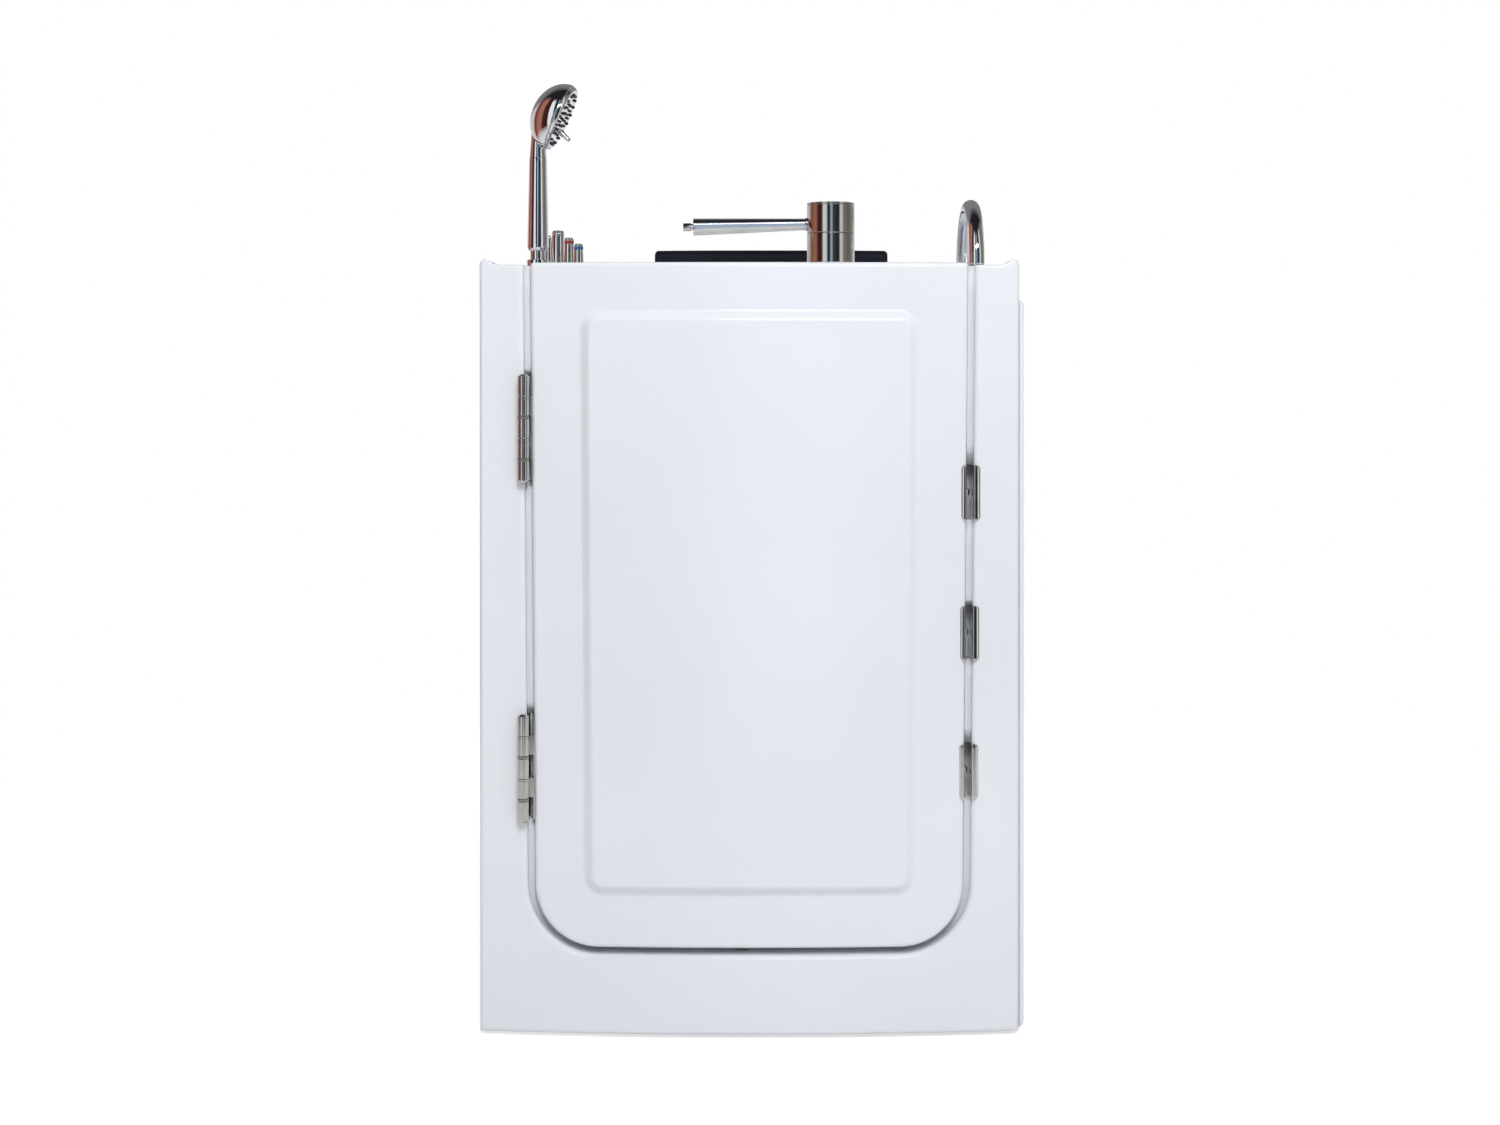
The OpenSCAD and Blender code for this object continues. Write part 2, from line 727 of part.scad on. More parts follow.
module bolt_guides() {
    color([0.3, 0.3, 0.32]) for (z = bolt_heights) difference() {
        y0 = bow(door_half(z)) + skin + 0.3;
        x1 = door_half(z - bolt_d) - skin - 0.3;
        translate([x1 - guide_len, y0, z - bolt_d]) cube([guide_len, door_d - skin - y0, 2 * bolt_d]);
        rod_x(bolt_d + 2 * run_gap, x1 - guide_len - 1, x1 + 1, bolt_y, z);
    }
}

module lock_shaft() {
    color(steel) translate([lever_x, shaft_y, shaft_z0])
        cylinder(d = shaft_d, h = door_top + lever_base_h + lever_head_h - 6 - shaft_z0);
}

module lock_cranks() {
    color(steel) for (z = bolt_heights) translate([lever_x, shaft_y, z + crank_lift]) difference() {
        rotate([0, 0, rest_crank]) union() {
            cylinder(d = shaft_d + 9, h = crank_h + 6);
            translate([0, -5.5, 0]) cube([crank_r, 11, crank_h]);
            translate([crank_r, 0, 0]) cylinder(d = 11, h = crank_h);
            translate([crank_r, 0, -crank_lift - 5]) cylinder(d = crank_pin_d, h = crank_lift + 6);
        }
        translate([0, 0, -1]) cylinder(d = shaft_d, h = crank_h + 12);
    }
}

module shaft_bearings() {
    color([0.3, 0.3, 0.32]) for (z = bearing_z) translate([lever_x, shaft_y, z]) difference() {
        translate([-14, -12, -6]) cube([28, plug_back - skin - shaft_y + 12, 12]);
        translate([0, 0, -7]) cylinder(d = shaft_d + 2 * run_gap, h = 14);
    }
}

module lever_base() {
    color(steel) translate([lever_x, shaft_y, door_top]) difference() {
        cylinder(d = lever_d, h = lever_base_h);
        translate([0, 0, -1]) cylinder(d = shaft_d + 2 * run_gap, h = lever_base_h + 2);
        translate([0, 0, -1]) cylinder(d = lever_d - 12, h = lever_base_h - 7);
    }
}

module lever_head() {
    color(steel) translate([lever_x, shaft_y, door_top + lever_base_h + 0.4]) difference() {
        cylinder(d = lever_d, h = lever_head_h - 0.4);
        translate([0, 0, -1]) cylinder(d = shaft_d, h = lever_head_h - 6 + 0.6);
    }
}

module lever_cap() {
    color(steel) translate([lever_x, shaft_y, door_top + lever_base_h + lever_head_h]) {
        cylinder(d = lever_d - 3, h = 1);
        translate([0, 0, 1]) cylinder(d = lever_d, h = 2);
    }
}

module on_lever() {
    translate([lever_x, shaft_y, arm_z]) rotate([0, -90 - arm_tilt, 0]) children();
}

module lever_arm() {
    color(chrome) difference() {
        on_lever() union() {
            translate([0, 0, lever_d / 2 - 4]) cylinder(d = 17, h = 6);
            translate([0, 0, lever_d / 2 - 4]) cylinder(r1 = 7.2, r2 = 11, h = lever_len - lever_d / 2 + 4);
        }
        translate([lever_x, shaft_y, door_top + lever_base_h]) cylinder(d = lever_d, h = lever_head_h + 2);
    }
}

module lever_tip() {
    color(chrome) on_lever() translate([0, 0, lever_len]) {
        cylinder(d = 8, h = 3);
        translate([0, 0, 3]) cylinder(d = 10.4, h = 10);
    }
}

module weep_grommet() {
    color(steel) translate([weep_x, weep_y, door_z - door_gap]) difference() {
        union() {
            cylinder(d = weep_d + 6, h = 1.2);
            translate([0, 0, -wall - 8]) cylinder(d = weep_d - 0.2, h = wall + 8);
        }
        translate([0, 0, -wall - 10]) cylinder(d = weep_d - 6, h = wall + 14);
    }
}

module shower_holder() {
    color(chrome) translate([-tap_x, shower_y, rim_h]) difference() {
        union() {
            cylinder(r1 = 24, r2 = 21, h = 5);
            cylinder(r = 15, h = holder_h);
            translate([0, 0, -60]) cylinder(d = tap_hole_d - 1, h = 61);
            translate([0, 0, -wall - 8]) cylinder(d = 32, h = 8);
        }
        translate([0, 0, -70]) cylinder(d = socket_d + 0.6, h = 100);
    }
}

module shower_handle() {
    color(chrome) translate([-tap_x, shower_y, 0]) {
        translate([0, 0, rim_h + holder_h + 0.3]) cylinder(d = 21, h = handle_z - rim_h - holder_h);
        translate([0, 0, rim_h - 25]) cylinder(d = socket_d, h = 50);
        translate([0, 0, handle_z]) cylinder(r1 = 12.5, r2 = 14.3, h = 5);
        translate([0, 0, handle_z + 5]) cylinder(r1 = 14.3, r2 = 11.7, h = handle_len - 5);
    }
}

module on_face() {
    translate([face_x, shower_y, face_z]) rotate([0, face_tilt, 0]) children();
}

module shower_head() {
    color(chrome) difference() {
        union() {
            on_face() dome();
            neck();
        }
        // room for the turning face
        on_face() cylinder(d = spray_d + 1, h = 30);
    }
}

// Back of the shower head, an ellipse turned round the face's axis
module dome() {
    r = spray_d / 2;
    rotate_extrude() polygon(concat(
        [[0, 0], [r, 0]],
        [for (a = [5:5:85]) [r * cos(a), -dome_d * sin(a)]],
        [[0, -dome_d]]
    ));
}

module neck() {
    z0 = handle_z + handle_len;
    hull() {
        translate([-tap_x, shower_y, z0]) cylinder(d = 22.6, h = 1, $fn = 32);
        translate([-tap_x, shower_y, z0 + 26]) cylinder(d = 19, h = 1, $fn = 32);
    }
    hull() {
        translate([-tap_x, shower_y, z0 + 22]) cylinder(d = 19, h = 2, $fn = 32);
        on_face() translate([14, 0, -20]) sphere(r = 14, $fn = 32);
    }
}

module spray_face() {
    color(chrome) on_face() {
        translate([0, 0, 0.3]) cylinder(r1 = spray_d / 2, r2 = spray_d / 2 - 3, h = 5);
        translate([spray_d / 2 - 18, -3.8, 5]) cube([16, 7.6, 10]);
    }
}

module spray_nozzles() {
    color([0.35, 0.36, 0.38]) on_face() for (ring = [[6, 10], [12, 22], [18, 36]], k = [0:ring[0] - 1])
        rotate([0, 0, 360 / ring[0] * (k + 0.5)]) translate([ring[1], 0, 5.3])
            cylinder(r1 = 2.2, r2 = 1.4, h = 5);
}

// Valve bodies under the deck, with flanges above, nuts below and the pipe that joins them
module tap_bodies() {
    color(chrome) difference() {
        union() {
            for (y = tap_y) translate([-tap_x, y, rim_h]) {
                cylinder(r1 = 20, r2 = 17, h = 6);
                translate([0, 0, -50]) cylinder(d = tap_hole_d - 1, h = 52);
                translate([0, 0, -wall - 10]) cylinder(d = 32, h = 10, $fn = 6);
                translate([0, 0, -valve_h]) cylinder(d = 30, h = 26);
            }
            rod_y(15, tap_y[0], tap_y[2], -tap_x, rim_h - valve_h + 13);
        }
        for (y = tap_y) translate([-tap_x, y, rim_h - 30]) cylinder(d = 8 + 2 * run_gap, h = 50);
    }
}

module knob(y, base_r, top_r, ring_h, ring_z) {
    translate([-tap_x, y, rim_h]) difference() {
        union() {
            translate([0, 0, -24]) cylinder(d = 8, h = 34);
            translate([0, 0, 6.4]) cylinder(r1 = base_r, r2 = top_r, h = tap_h - 10.4);
            translate([0, 0, tap_h - 4]) cylinder(r1 = top_r, r2 = top_r - 1.5, h = 4);
        }
        translate([0, 0, ring_z]) difference() {
            cylinder(r = top_r + 4, h = ring_h);
            translate([0, 0, -1]) cylinder(r = top_r - 1, h = ring_h + 2);
        }
    }
}

module index_ring(y, r, h, z) {
    translate([-tap_x, y, rim_h + z]) difference() {
        cylinder(r = r, h = h);
        translate([0, 0, -1]) cylinder(r = r - 1.2, h = h + 2);
    }
}

module diverter_knob() { color(chrome) knob(tap_y[0], 9.8, 9.2, 1.2, tap_h - 7); }
module hot_knob() { color(chrome) knob(tap_y[1], 8.6, 7.4, 4, tap_h - 9); }
module cold_knob() { color(chrome) knob(tap_y[2], 8.6, 7.4, 4, tap_h - 9); }
module hot_ring() { color([0.7, 0.1, 0.1]) index_ring(tap_y[1], 7.6, 4, tap_h - 9); }
module cold_ring() { color([0.1, 0.25, 0.7]) index_ring(tap_y[2], 7.6, 4, tap_h - 9); }

module supply_pipes() {
    color([0.72, 0.45, 0.3]) for (i = [1, 2]) {
        z = rim_h - valve_h - 10 - 18 * (3 - i);
        x = -tap_x;
        y1 = supply_y - 60 * (2 - i);
        translate([x, tap_y[i], z]) cylinder(d = 15, h = rim_h - valve_h - z);
        rod_y(15, tap_y[i], y1, x, z);
        translate([x, tap_y[i], z]) sphere(d = 15);
        translate([x, y1, z]) sphere(d = 15);
        translate([x, y1, supply_z]) cylinder(d = 15, h = z - supply_z);
        translate([x, y1, supply_z - 18]) cylinder(d = 20.9, h = 24);
    }
}

module tub_spout() {
    x = -well_half(spout_z - 25) + 0.3;
    color(chrome) union() {
        rod_x(spout_hole_d - 0.6, -tap_x + 8, x + 8, tap_y[0], spout_z);
        rod_x(50, x, x + 5, tap_y[0], spout_z);
        rod_x(30, x + 5, x + 66, tap_y[0], spout_z);
        translate([x + 52, tap_y[0], spout_z - 26]) cylinder(d = 26, h = 26);
        translate([-tap_x, tap_y[0], spout_z]) cylinder(d = 15, h = rim_h - valve_h - spout_z);
        translate([-tap_x, tap_y[0], spout_z]) sphere(d = 24);
    }
}

module drain_lever_base() {
    color(chrome) translate([-tap_x, drain_lever_y, rim_h]) difference() {
        union() {
            cylinder(r1 = 15, r2 = 13, h = 5);
            translate([0, 0, -40]) cylinder(d = lever_hole_d - 0.6, h = 41);
            for (s = [-1, 1]) translate([s * 7.5 - 1.5, -5, 4]) cube([3, 10, 10]);
        }
        rod_x(4, -12, 12, 0, 10);
    }
}

module drain_lever() {
    color(chrome) translate([-tap_x, drain_lever_y, rim_h + 10]) {
        rod_x(3.9, -8.5, 8.5, 0, 0);
        rod_x(8, -5.5, 5.5, 0, 0);
        rotate_extrude()
            polygon([[0, 0], [5, 0], [5, 5], [6.8, 9], [3.2, 42], [2.7, 44], [1.5, 45.5], [0, 45.5]]);
    }
}

module drain_body() {
    color(chrome) translate([0, drain_y, foot_z]) difference() {
        union() {
            translate([0, 0, 0.2]) cylinder(r1 = 35, r2 = 33, h = 2);
            translate([0, 0, drain_low - foot_z]) cylinder(d = drain_d - 1, h = foot_z - drain_low + 1);
            translate([0, 0, drain_low - foot_z]) cylinder(d = 66, h = foot_z - drain_low - wall - 0.2);
        }
        difference() {
            translate([0, 0, -wall - 31]) cylinder(d = 38, h = wall + 40);
            // three arms and a hub that guide the plug's stem
            translate([0, 0, drain_low - foot_z]) difference() {
                union() {
                    cylinder(d = 15, h = 8);
                    for (a = [0, 120, 240]) rotate([0, 0, a]) translate([0, -2, 0]) cube([20, 4, 8]);
                }
                translate([0, 0, -1]) cylinder(d = 8 + 2 * run_gap, h = 10);
            }
        }
    }
}

module drain_plug() {
    color(chrome) translate([0, drain_y, foot_z]) {
        translate([0, 0, 2.6]) cylinder(r1 = 21, r2 = 16, h = 4);
        translate([0, 0, -20]) cylinder(d = 8, h = 24);
    }
}

module overflow_plate() {
    x = -well_half(overflow_z - 33) + 0.3;
    color(chrome) {
        rod_x(66, x, x + 4, overflow_y, overflow_z);
        rod_x(overflow_hole_d - 1, -well_half(overflow_z) - 12, x + 2, overflow_y, overflow_z);
    }
}

// Pipe from the overflow, down and under the tub, past the drain to the outlet
module waste_pipe() {
    x = -tap_x;
    color([0.9, 0.9, 0.88]) difference() {
        union() {
            rod_x(28, x, -well_half(overflow_z) - 12, overflow_y, overflow_z);
            translate([x, overflow_y, overflow_z]) sphere(d = 30);
            translate([x, overflow_y, waste_z]) cylinder(d = 28, h = overflow_z - waste_z);
            translate([x, overflow_y, waste_z]) sphere(d = 30);
            rod_x(28, x, 0, overflow_y, waste_z);
            translate([0, overflow_y, waste_z]) sphere(d = waste_d);
            rod_y(waste_d, overflow_y, waste_end, 0, waste_z);
            rod_y(waste_d + 5, waste_end - 60, waste_end - 40, 0, waste_z);
            translate([0, drain_y, waste_z]) cylinder(d = drain_d, h = drain_low - waste_z);
        }
        rod_y(waste_d - 4, drain_y, waste_end + 1, 0, waste_z);
        translate([0, drain_y, waste_z]) cylinder(d = drain_d - 12, h = foot_z - waste_z);
    }
}

module grab_bar() {
    lift = 9;
    color(chrome) translate([grab_x, grab_y, rim_h]) {
        for (s = [0, 1]) translate([0, s * grab_span, 0.3 - wall]) cylinder(d = grab_d, h = wall + lift);
        translate([0, grab_span / 2, lift]) rotate([90, 0, 90])
            rotate_extrude(angle = 180) translate([grab_span / 2, 0]) circle(d = grab_d);
    }
}
module grab_flanges() {
    color(chrome) for (s = [0, 1]) translate([grab_x, grab_y + s * grab_span, rim_h]) difference() {
        cylinder(r1 = 22, r2 = 20, h = 4);
        translate([0, 0, -1]) cylinder(d = grab_d, h = 6);
    }
}

// A firm pad: crowned on top, its long sides drawn in between round corners
headrest_side = [for (i = [0:12]) 0.954 - 0.159 * i];
headrest_end = [[0.985, 0.9], [1, 0.7], [1, 0], [1, -0.7], [0.985, -0.9]];
headrest_plan = concat(
    [for (x = headrest_side) [x, 1]], [for (q = headrest_end) [-q[0], q[1]]],
    [for (x = headrest_side) [-x, -1]], [for (q = headrest_end) [q[0], -q[1]]]
);
function headrest_point(q, b) =
    let (drawn = 1 - 0.05 * (1 - q[0] * q[0]), crown = 1 - 0.03 * q[0] * q[0])
    [
        headrest_w / 2 * q[0] * pow(cos(b), 0.08),
        headrest_d / 2 * q[1] * pow(cos(b), 0.3) * drawn,
        headrest_h / 2 * sign(b) * pow(abs(sin(b)), 0.3) * crown
    ];
module headrest() {
    around = len(headrest_plan);
    up = 14;
    pts = concat(
        [[0, 0, -headrest_h / 2]],
        [for (j = [1:up - 1], i = [0:around - 1])
            headrest_point(headrest_plan[i], -90 + 180 * j / up)],
        [[0, 0, headrest_h / 2]]
    );
    top = len(pts) - 1;
    faces = concat(
        [for (i = [0:around - 1]) [0, 1 + i, 1 + (i + 1) % around]],
        [for (j = [0:up - 3], i = [0:around - 1], half = [0, 1])
            let (
                a = 1 + j * around + i, b = 1 + j * around + (i + 1) % around,
                c = b + around, d = a + around
            )
            half == 0 ? [a, d, c] : [a, c, b]],
        [for (i = [0:around - 1])
            let (k = 1 + (up - 2) * around)
            [k + i, top, k + (i + 1) % around]]
    );
    color([0.05, 0.05, 0.09]) translate([headrest_x, inner_rear + headrest_back, rim_h + headrest_h / 2])
        polyhedron(points = pts, faces = faces);
}

in_place() tub_shell();
in_place() front_surround();
in_place() side_skirt();
in_place() skirt_screws();
in_place() support_frame();
in_place() leveling_feet();
in_place() foot_lock_nuts();
in_place() door_outer_skin();
in_place() door_inner_skin();
in_place() door_seal();
in_place() doorway_strips();
in_place() hinge_frame_leaves();
in_place() hinge_door_leaves();
in_place() hinge_pins();
in_place() hinge_washers();
in_place() hinge_screws();
in_place() door_hinge_screws();
in_place() latch_plates();
in_place() keeper_plates();
in_place() bolt_upper();
in_place() bolt_middle();
in_place() bolt_lower();
in_place() bolt_guides();
in_place() lock_shaft();
in_place() lock_cranks();
in_place() shaft_bearings();
in_place() lever_base();
in_place() lever_head();
in_place() lever_cap();
in_place() lever_arm();
in_place() lever_tip();
in_place() weep_grommet();
in_place() shower_holder();
in_place() shower_handle();
in_place() shower_head();
in_place() spray_face();
in_place() spray_nozzles();
in_place() tap_bodies();
in_place() diverter_knob();
in_place() hot_knob();
in_place() cold_knob();
in_place() hot_ring();
in_place() cold_ring();
in_place() supply_pipes();
in_place() tub_spout();
in_place() drain_lever_base();
in_place() drain_lever();
in_place() drain_body();
in_place() drain_plug();
in_place() overflow_plate();
in_place() waste_pipe();
in_place() grab_bar();
in_place() grab_flanges();
in_place() headrest();
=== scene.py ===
import json
import math

import bmesh
import bpy
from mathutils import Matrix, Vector


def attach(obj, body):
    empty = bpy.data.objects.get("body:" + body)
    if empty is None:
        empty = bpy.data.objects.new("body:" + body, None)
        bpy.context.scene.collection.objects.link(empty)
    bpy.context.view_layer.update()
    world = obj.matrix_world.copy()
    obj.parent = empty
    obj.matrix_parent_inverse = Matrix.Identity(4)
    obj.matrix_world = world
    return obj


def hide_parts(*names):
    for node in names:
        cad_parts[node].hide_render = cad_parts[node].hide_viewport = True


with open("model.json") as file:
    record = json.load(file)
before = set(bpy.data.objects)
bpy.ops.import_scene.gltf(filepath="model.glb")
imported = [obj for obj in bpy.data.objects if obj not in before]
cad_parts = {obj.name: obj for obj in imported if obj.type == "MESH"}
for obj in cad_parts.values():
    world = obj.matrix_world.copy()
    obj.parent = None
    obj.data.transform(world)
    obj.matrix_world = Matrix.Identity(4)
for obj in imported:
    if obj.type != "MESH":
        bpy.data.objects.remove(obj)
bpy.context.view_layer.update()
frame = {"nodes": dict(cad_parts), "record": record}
BODY_OF = {node: body for body, nodes in frame["record"]["behaviour"]["bodies"].items() for node in nodes}

# Points are in millimetres: x from the tub's middle, y from the front's foremost line, z from the floor.
PLACE = Vector((-3.75, -593.5, 0.0))
UP = (0, 0, 1)

# The tub as a whole, its front's bow, and its shell
HALF_W, LENGTH, RIM = 343.0, 1194.0, 978.0
BOW = 15.5
BOW_R = (HALF_W**2 + BOW**2) / (2 * BOW)
SHELL_Y, FLANGE_Y = 56.0, 50.0
WALL, LIP_H, FRONT_SKIN = 6.0, 43.0, 6.0

# The door: its top and bottom, its half widths there, its corners, and the opening round it
DOOR_RIM, DOOR_Z = 981.0, 114.5
DOOR_TOP, DOOR_BOTTOM, DOOR_R, DOOR_D = 277.5, 270.5, 80.0, 46.0
DOOR_SKIN = 5.0
GAP, REACH = 9.0, 34.0

# The lock, the hinges and the weep hole
SHAFT_X, SHAFT_Y, CRANK_R, LOCK_TURN = 104.0, 39.0, 16.0, 60.0
BOLT_Y = SHAFT_Y - CRANK_R * (1 + math.cos(math.radians(LOCK_TURN / 2))) / 2
BOLTS, BOLT_HOLE = (336.0, 511.0, 689.0), 6.5
HINGES, HINGE_X, BARREL_D = (771.0, 342.0), 285.0, 14.5
WEEP_X, WEEP_Y, WEEP_R = -10.0, 30.0, 8.0


def bow(x):
    """Depth of the bowed front at a place across it."""
    return BOW_R - math.sqrt(BOW_R**2 - x * x)


def door_half(z):
    """Half the door's width at a height."""
    return DOOR_BOTTOM + (DOOR_TOP - DOOR_BOTTOM) * (z - DOOR_Z) / (RIM - DOOR_Z)


def quarter(steps):
    """Angles from 0 to a right angle."""
    return [math.pi / 2 * k / steps for k in range(steps + 1)]


def circle(centre, radius, side, up, sides):
    """Points round a circle, from its side towards its up."""
    turns = [2 * math.pi * k / sides for k in range(sides)]
    return [centre + radius * (math.cos(t) * side + math.sin(t) * up) for t in turns]


def placed(name, data):
    """A new object of this data, in the scene."""
    item = bpy.data.objects.new(name, data)
    bpy.context.scene.collection.objects.link(item)
    return item


# -------- camera

camera = placed("camera", bpy.data.cameras.new("camera"))
camera.location = (0.03525, -2.8935, 0.842)
camera.rotation_euler = (math.pi / 2, 0, 0)
camera.data.lens = 43.8
camera.data.sensor_width = 36
camera.data.shift_x = -0.02
camera.data.shift_y = -0.127
camera.data.clip_end = 200
bpy.context.scene.camera = camera


# -------- materials


def shader(name, color, roughness, metallic=0.0, **inputs):
    """A Principled material with these plain values: also returns its node tree and its shader node."""
    material = bpy.data.materials.new(name)
    material.use_nodes = True
    bsdf = material.node_tree.nodes["Principled BSDF"]
    bsdf.inputs["Base Color"].default_value = (*color, 1)
    bsdf.inputs["Roughness"].default_value = roughness
    bsdf.inputs["Metallic"].default_value = metallic
    for key, value in inputs.items():
        bsdf.inputs[key.replace("_", " ")].default_value = value
    return material, material.node_tree, bsdf


def noise(tree, scale, detail=3.0, stretch=(1, 1, 1)):
    """Noise in the object's own coordinates."""
    place = tree.nodes.new("ShaderNodeTexCoord")
    mapping = tree.nodes.new("ShaderNodeMapping")
    mapping.inputs["Scale"].default_value = stretch
    texture = tree.nodes.new("ShaderNodeTexNoise")
    texture.inputs["Scale"].default_value = scale
    texture.inputs["Detail"].default_value = detail
    tree.links.new(place.outputs["Object"], mapping.inputs["Vector"])
    tree.links.new(mapping.outputs["Vector"], texture.inputs["Vector"])
    return texture.outputs["Fac"]


def ramp(tree, source, low, high, a=0.0, b=1.0):
    """source from low to high becomes a to b, both numbers or both colours."""
    if isinstance(a, (int, float)):
        node = tree.nodes.new("ShaderNodeMapRange")
        for key, value in zip(("From Min", "From Max", "To Min", "To Max"), (low, high, a, b)):
            node.inputs[key].default_value = value
        tree.links.new(source, node.inputs["Value"])
        return node.outputs["Result"]
    node = tree.nodes.new("ShaderNodeValToRGB")
    node.color_ramp.elements[0].position, node.color_ramp.elements[1].position = low, high
    node.color_ramp.elements[0].color, node.color_ramp.elements[1].color = (*a, 1), (*b, 1)
    tree.links.new(source, node.inputs["Fac"])
    return node.outputs["Color"]


def bump(tree, bsdf, source, strength, distance):
    """Gives the material a surface that rises and falls with the source."""
    node = tree.nodes.new("ShaderNodeBump")
    node.inputs["Strength"].default_value = strength
    node.inputs["Distance"].default_value = distance
    tree.links.new(source, node.inputs["Height"])
    tree.links.new(node.outputs["Normal"], bsdf.inputs["Normal"])


def moulded(name, dark, light, rough, wave, **inputs):
    """Gelcoat or moulded plastic: a slow drift of colour and gloss, and a faint waviness."""
    material, tree, bsdf = shader(name, light, rough, **inputs)
    drift = noise(tree, 3.0, 2.0)
    tree.links.new(ramp(tree, drift, 0.3, 0.7, dark, light), bsdf.inputs["Base Color"])
    gloss = noise(tree, 14.0)
    tree.links.new(ramp(tree, gloss, 0.3, 0.7, rough * 0.85, rough * 1.2), bsdf.inputs["Roughness"])
    bump(tree, bsdf, noise(tree, 55.0, 1.0), wave, 0.0004)
    return material


def brushed(name, dark, light, rough, stretch):
    """Brushed metal: fine scratches, long where the stretch has small numbers."""
    material, tree, bsdf = shader(name, light, rough, 1.0)
    grain = noise(tree, 1.0, 4.0, stretch)
    tree.links.new(ramp(tree, grain, 0.3, 0.7, dark, light), bsdf.inputs["Base Color"])
    tree.links.new(ramp(tree, grain, 0.3, 0.7, rough * 0.75, rough * 1.3), bsdf.inputs["Roughness"])
    bump(tree, bsdf, grain, 0.12, 0.0002)
    return material


def polished(name, dark, light, rough):
    """Polished metal: clear, with faint smudges in its gloss."""
    material, tree, bsdf = shader(name, light, rough, 1.0)
    smudge = noise(tree, 30.0, 5.0)
    tree.links.new(ramp(tree, smudge, 0.35, 0.7, dark, light), bsdf.inputs["Base Color"])
    tree.links.new(ramp(tree, smudge, 0.35, 0.75, rough * 0.6, rough * 1.8), bsdf.inputs["Roughness"])
    bump(tree, bsdf, noise(tree, 60.0, 1.0), 0.03, 0.0003)
    return material


GELCOAT = moulded(
    "gelcoat", (0.80, 0.815, 0.86), (0.83, 0.845, 0.885), 0.16, 0.02, Coat_Weight=0.5, Coat_Roughness=0.04
)
STEEL = polished("satin_steel", (0.55, 0.54, 0.51), (0.67, 0.66, 0.625), 0.15)
TURNED = brushed("turned_steel", (0.56, 0.545, 0.51), (0.66, 0.645, 0.61), 0.13, (12, 12, 1500))
CHROME = polished("chrome", (0.78, 0.78, 0.79), (0.86, 0.865, 0.87), 0.05)
BRIGHT = polished("polished_steel", (0.68, 0.67, 0.64), (0.80, 0.79, 0.76), 0.09)
# Bolt steel: polished steel with its colour raised near white as a painted glint, to brighten the bolts in
# their dark slot
BOLT_STEEL_PAINTED_GLINT = polished("bolt_steel_painted_glint", (0.88, 0.87, 0.85), (0.95, 0.94, 0.92), 0.28)
PLATE = polished("plate_steel", (0.60, 0.59, 0.57), (0.72, 0.71, 0.69), 0.07)
FRAME_STEEL = brushed("frame_steel", (0.42, 0.42, 0.42), (0.56, 0.56, 0.56), 0.38, (300, 300, 60))
SEAL = moulded("seal_rubber", (0.46, 0.47, 0.49), (0.54, 0.55, 0.57), 0.55, 0.1)
STRIP = moulded("strip_silicone", (0.72, 0.735, 0.77), (0.77, 0.785, 0.82), 0.5, 0.1)
NOZZLE = moulded("nozzle_rubber", (0.07, 0.073, 0.08), (0.11, 0.114, 0.125), 0.4, 0.1)
WASHER = brushed("washer_bronze", (0.38, 0.36, 0.32), (0.48, 0.455, 0.41), 0.3, (60, 60, 1500))
BLACK = moulded("black_plastic", (0.012, 0.012, 0.014), (0.03, 0.03, 0.033), 0.4, 0.1)
COPPER = brushed("copper", (0.52, 0.24, 0.14), (0.72, 0.36, 0.22), 0.3, (200, 30, 200))
WASTE = moulded("waste_plastic", (0.68, 0.68, 0.65), (0.76, 0.76, 0.73), 0.35, 0.05)
RED = moulded("red_mark", (0.26, 0.02, 0.02), (0.36, 0.035, 0.03), 0.25, 0.02, Coat_Weight=0.4)
BLUE = moulded("blue_mark", (0.02, 0.08, 0.32), (0.035, 0.13, 0.45), 0.25, 0.02, Coat_Weight=0.4)


def skinned_foam():
    """Headrest skin: soft dark polyurethane with a fine leather grain and a low sheen."""
    material, tree, bsdf = shader("headrest_skin", (0.006, 0.007, 0.014), 0.42, Specular_IOR_Level=0.3)
    grain = tree.nodes.new("ShaderNodeTexVoronoi")
    grain.inputs["Scale"].default_value = 420
    place = tree.nodes.new("ShaderNodeTexCoord")
    tree.links.new(place.outputs["Object"], grain.inputs["Vector"])
    tint = ramp(tree, noise(tree, 9.0), 0.35, 0.7, (0.004, 0.005, 0.010), (0.009, 0.011, 0.021))
    tree.links.new(tint, bsdf.inputs["Base Color"])
    tree.links.new(ramp(tree, grain.outputs["Distance"], 0.0, 0.6, 0.36, 0.5), bsdf.inputs["Roughness"])
    bump(tree, bsdf, grain.outputs["Distance"], 0.35, 0.0003)
    return material


FOAM = skinned_foam()


# -------- mesh tools

# Edges that turn by more degrees than this are rounded
HARD_ANGLE = 32


def new_piece(name, net, body=None, material=None, nodes=()):
    """A mesh from a net, its faces turned outwards. Without a material it's a tool to cut with."""
    mesh = bpy.data.meshes.new(name)
    mesh.from_pydata([(p + PLACE) / 1000 for p in net.points], [], net.faces)
    work = bmesh.new()
    work.from_mesh(mesh)
    bmesh.ops.recalc_face_normals(work, faces=work.faces)
    work.to_mesh(mesh)
    work.free()
    piece = placed(name, mesh)
    if material:
        finish_piece(piece, body, material, nodes)
    return piece


def finish_piece(piece, body, material, nodes=()):
    """Material, body and the CAD nodes that the piece stands for."""
    piece.data.materials.clear()
    piece.data.materials.append(material)
    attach(piece, body)
    if nodes:
        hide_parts(*nodes)


def applied(piece):
    """Makes the piece's modifiers part of its mesh."""
    bpy.context.view_layer.update()
    graph = bpy.context.evaluated_depsgraph_get()
    mesh = bpy.data.meshes.new_from_object(piece.evaluated_get(graph))
    piece.modifiers.clear()
    old, piece.data = piece.data, mesh
    if not old.users:
        bpy.data.meshes.remove(old)


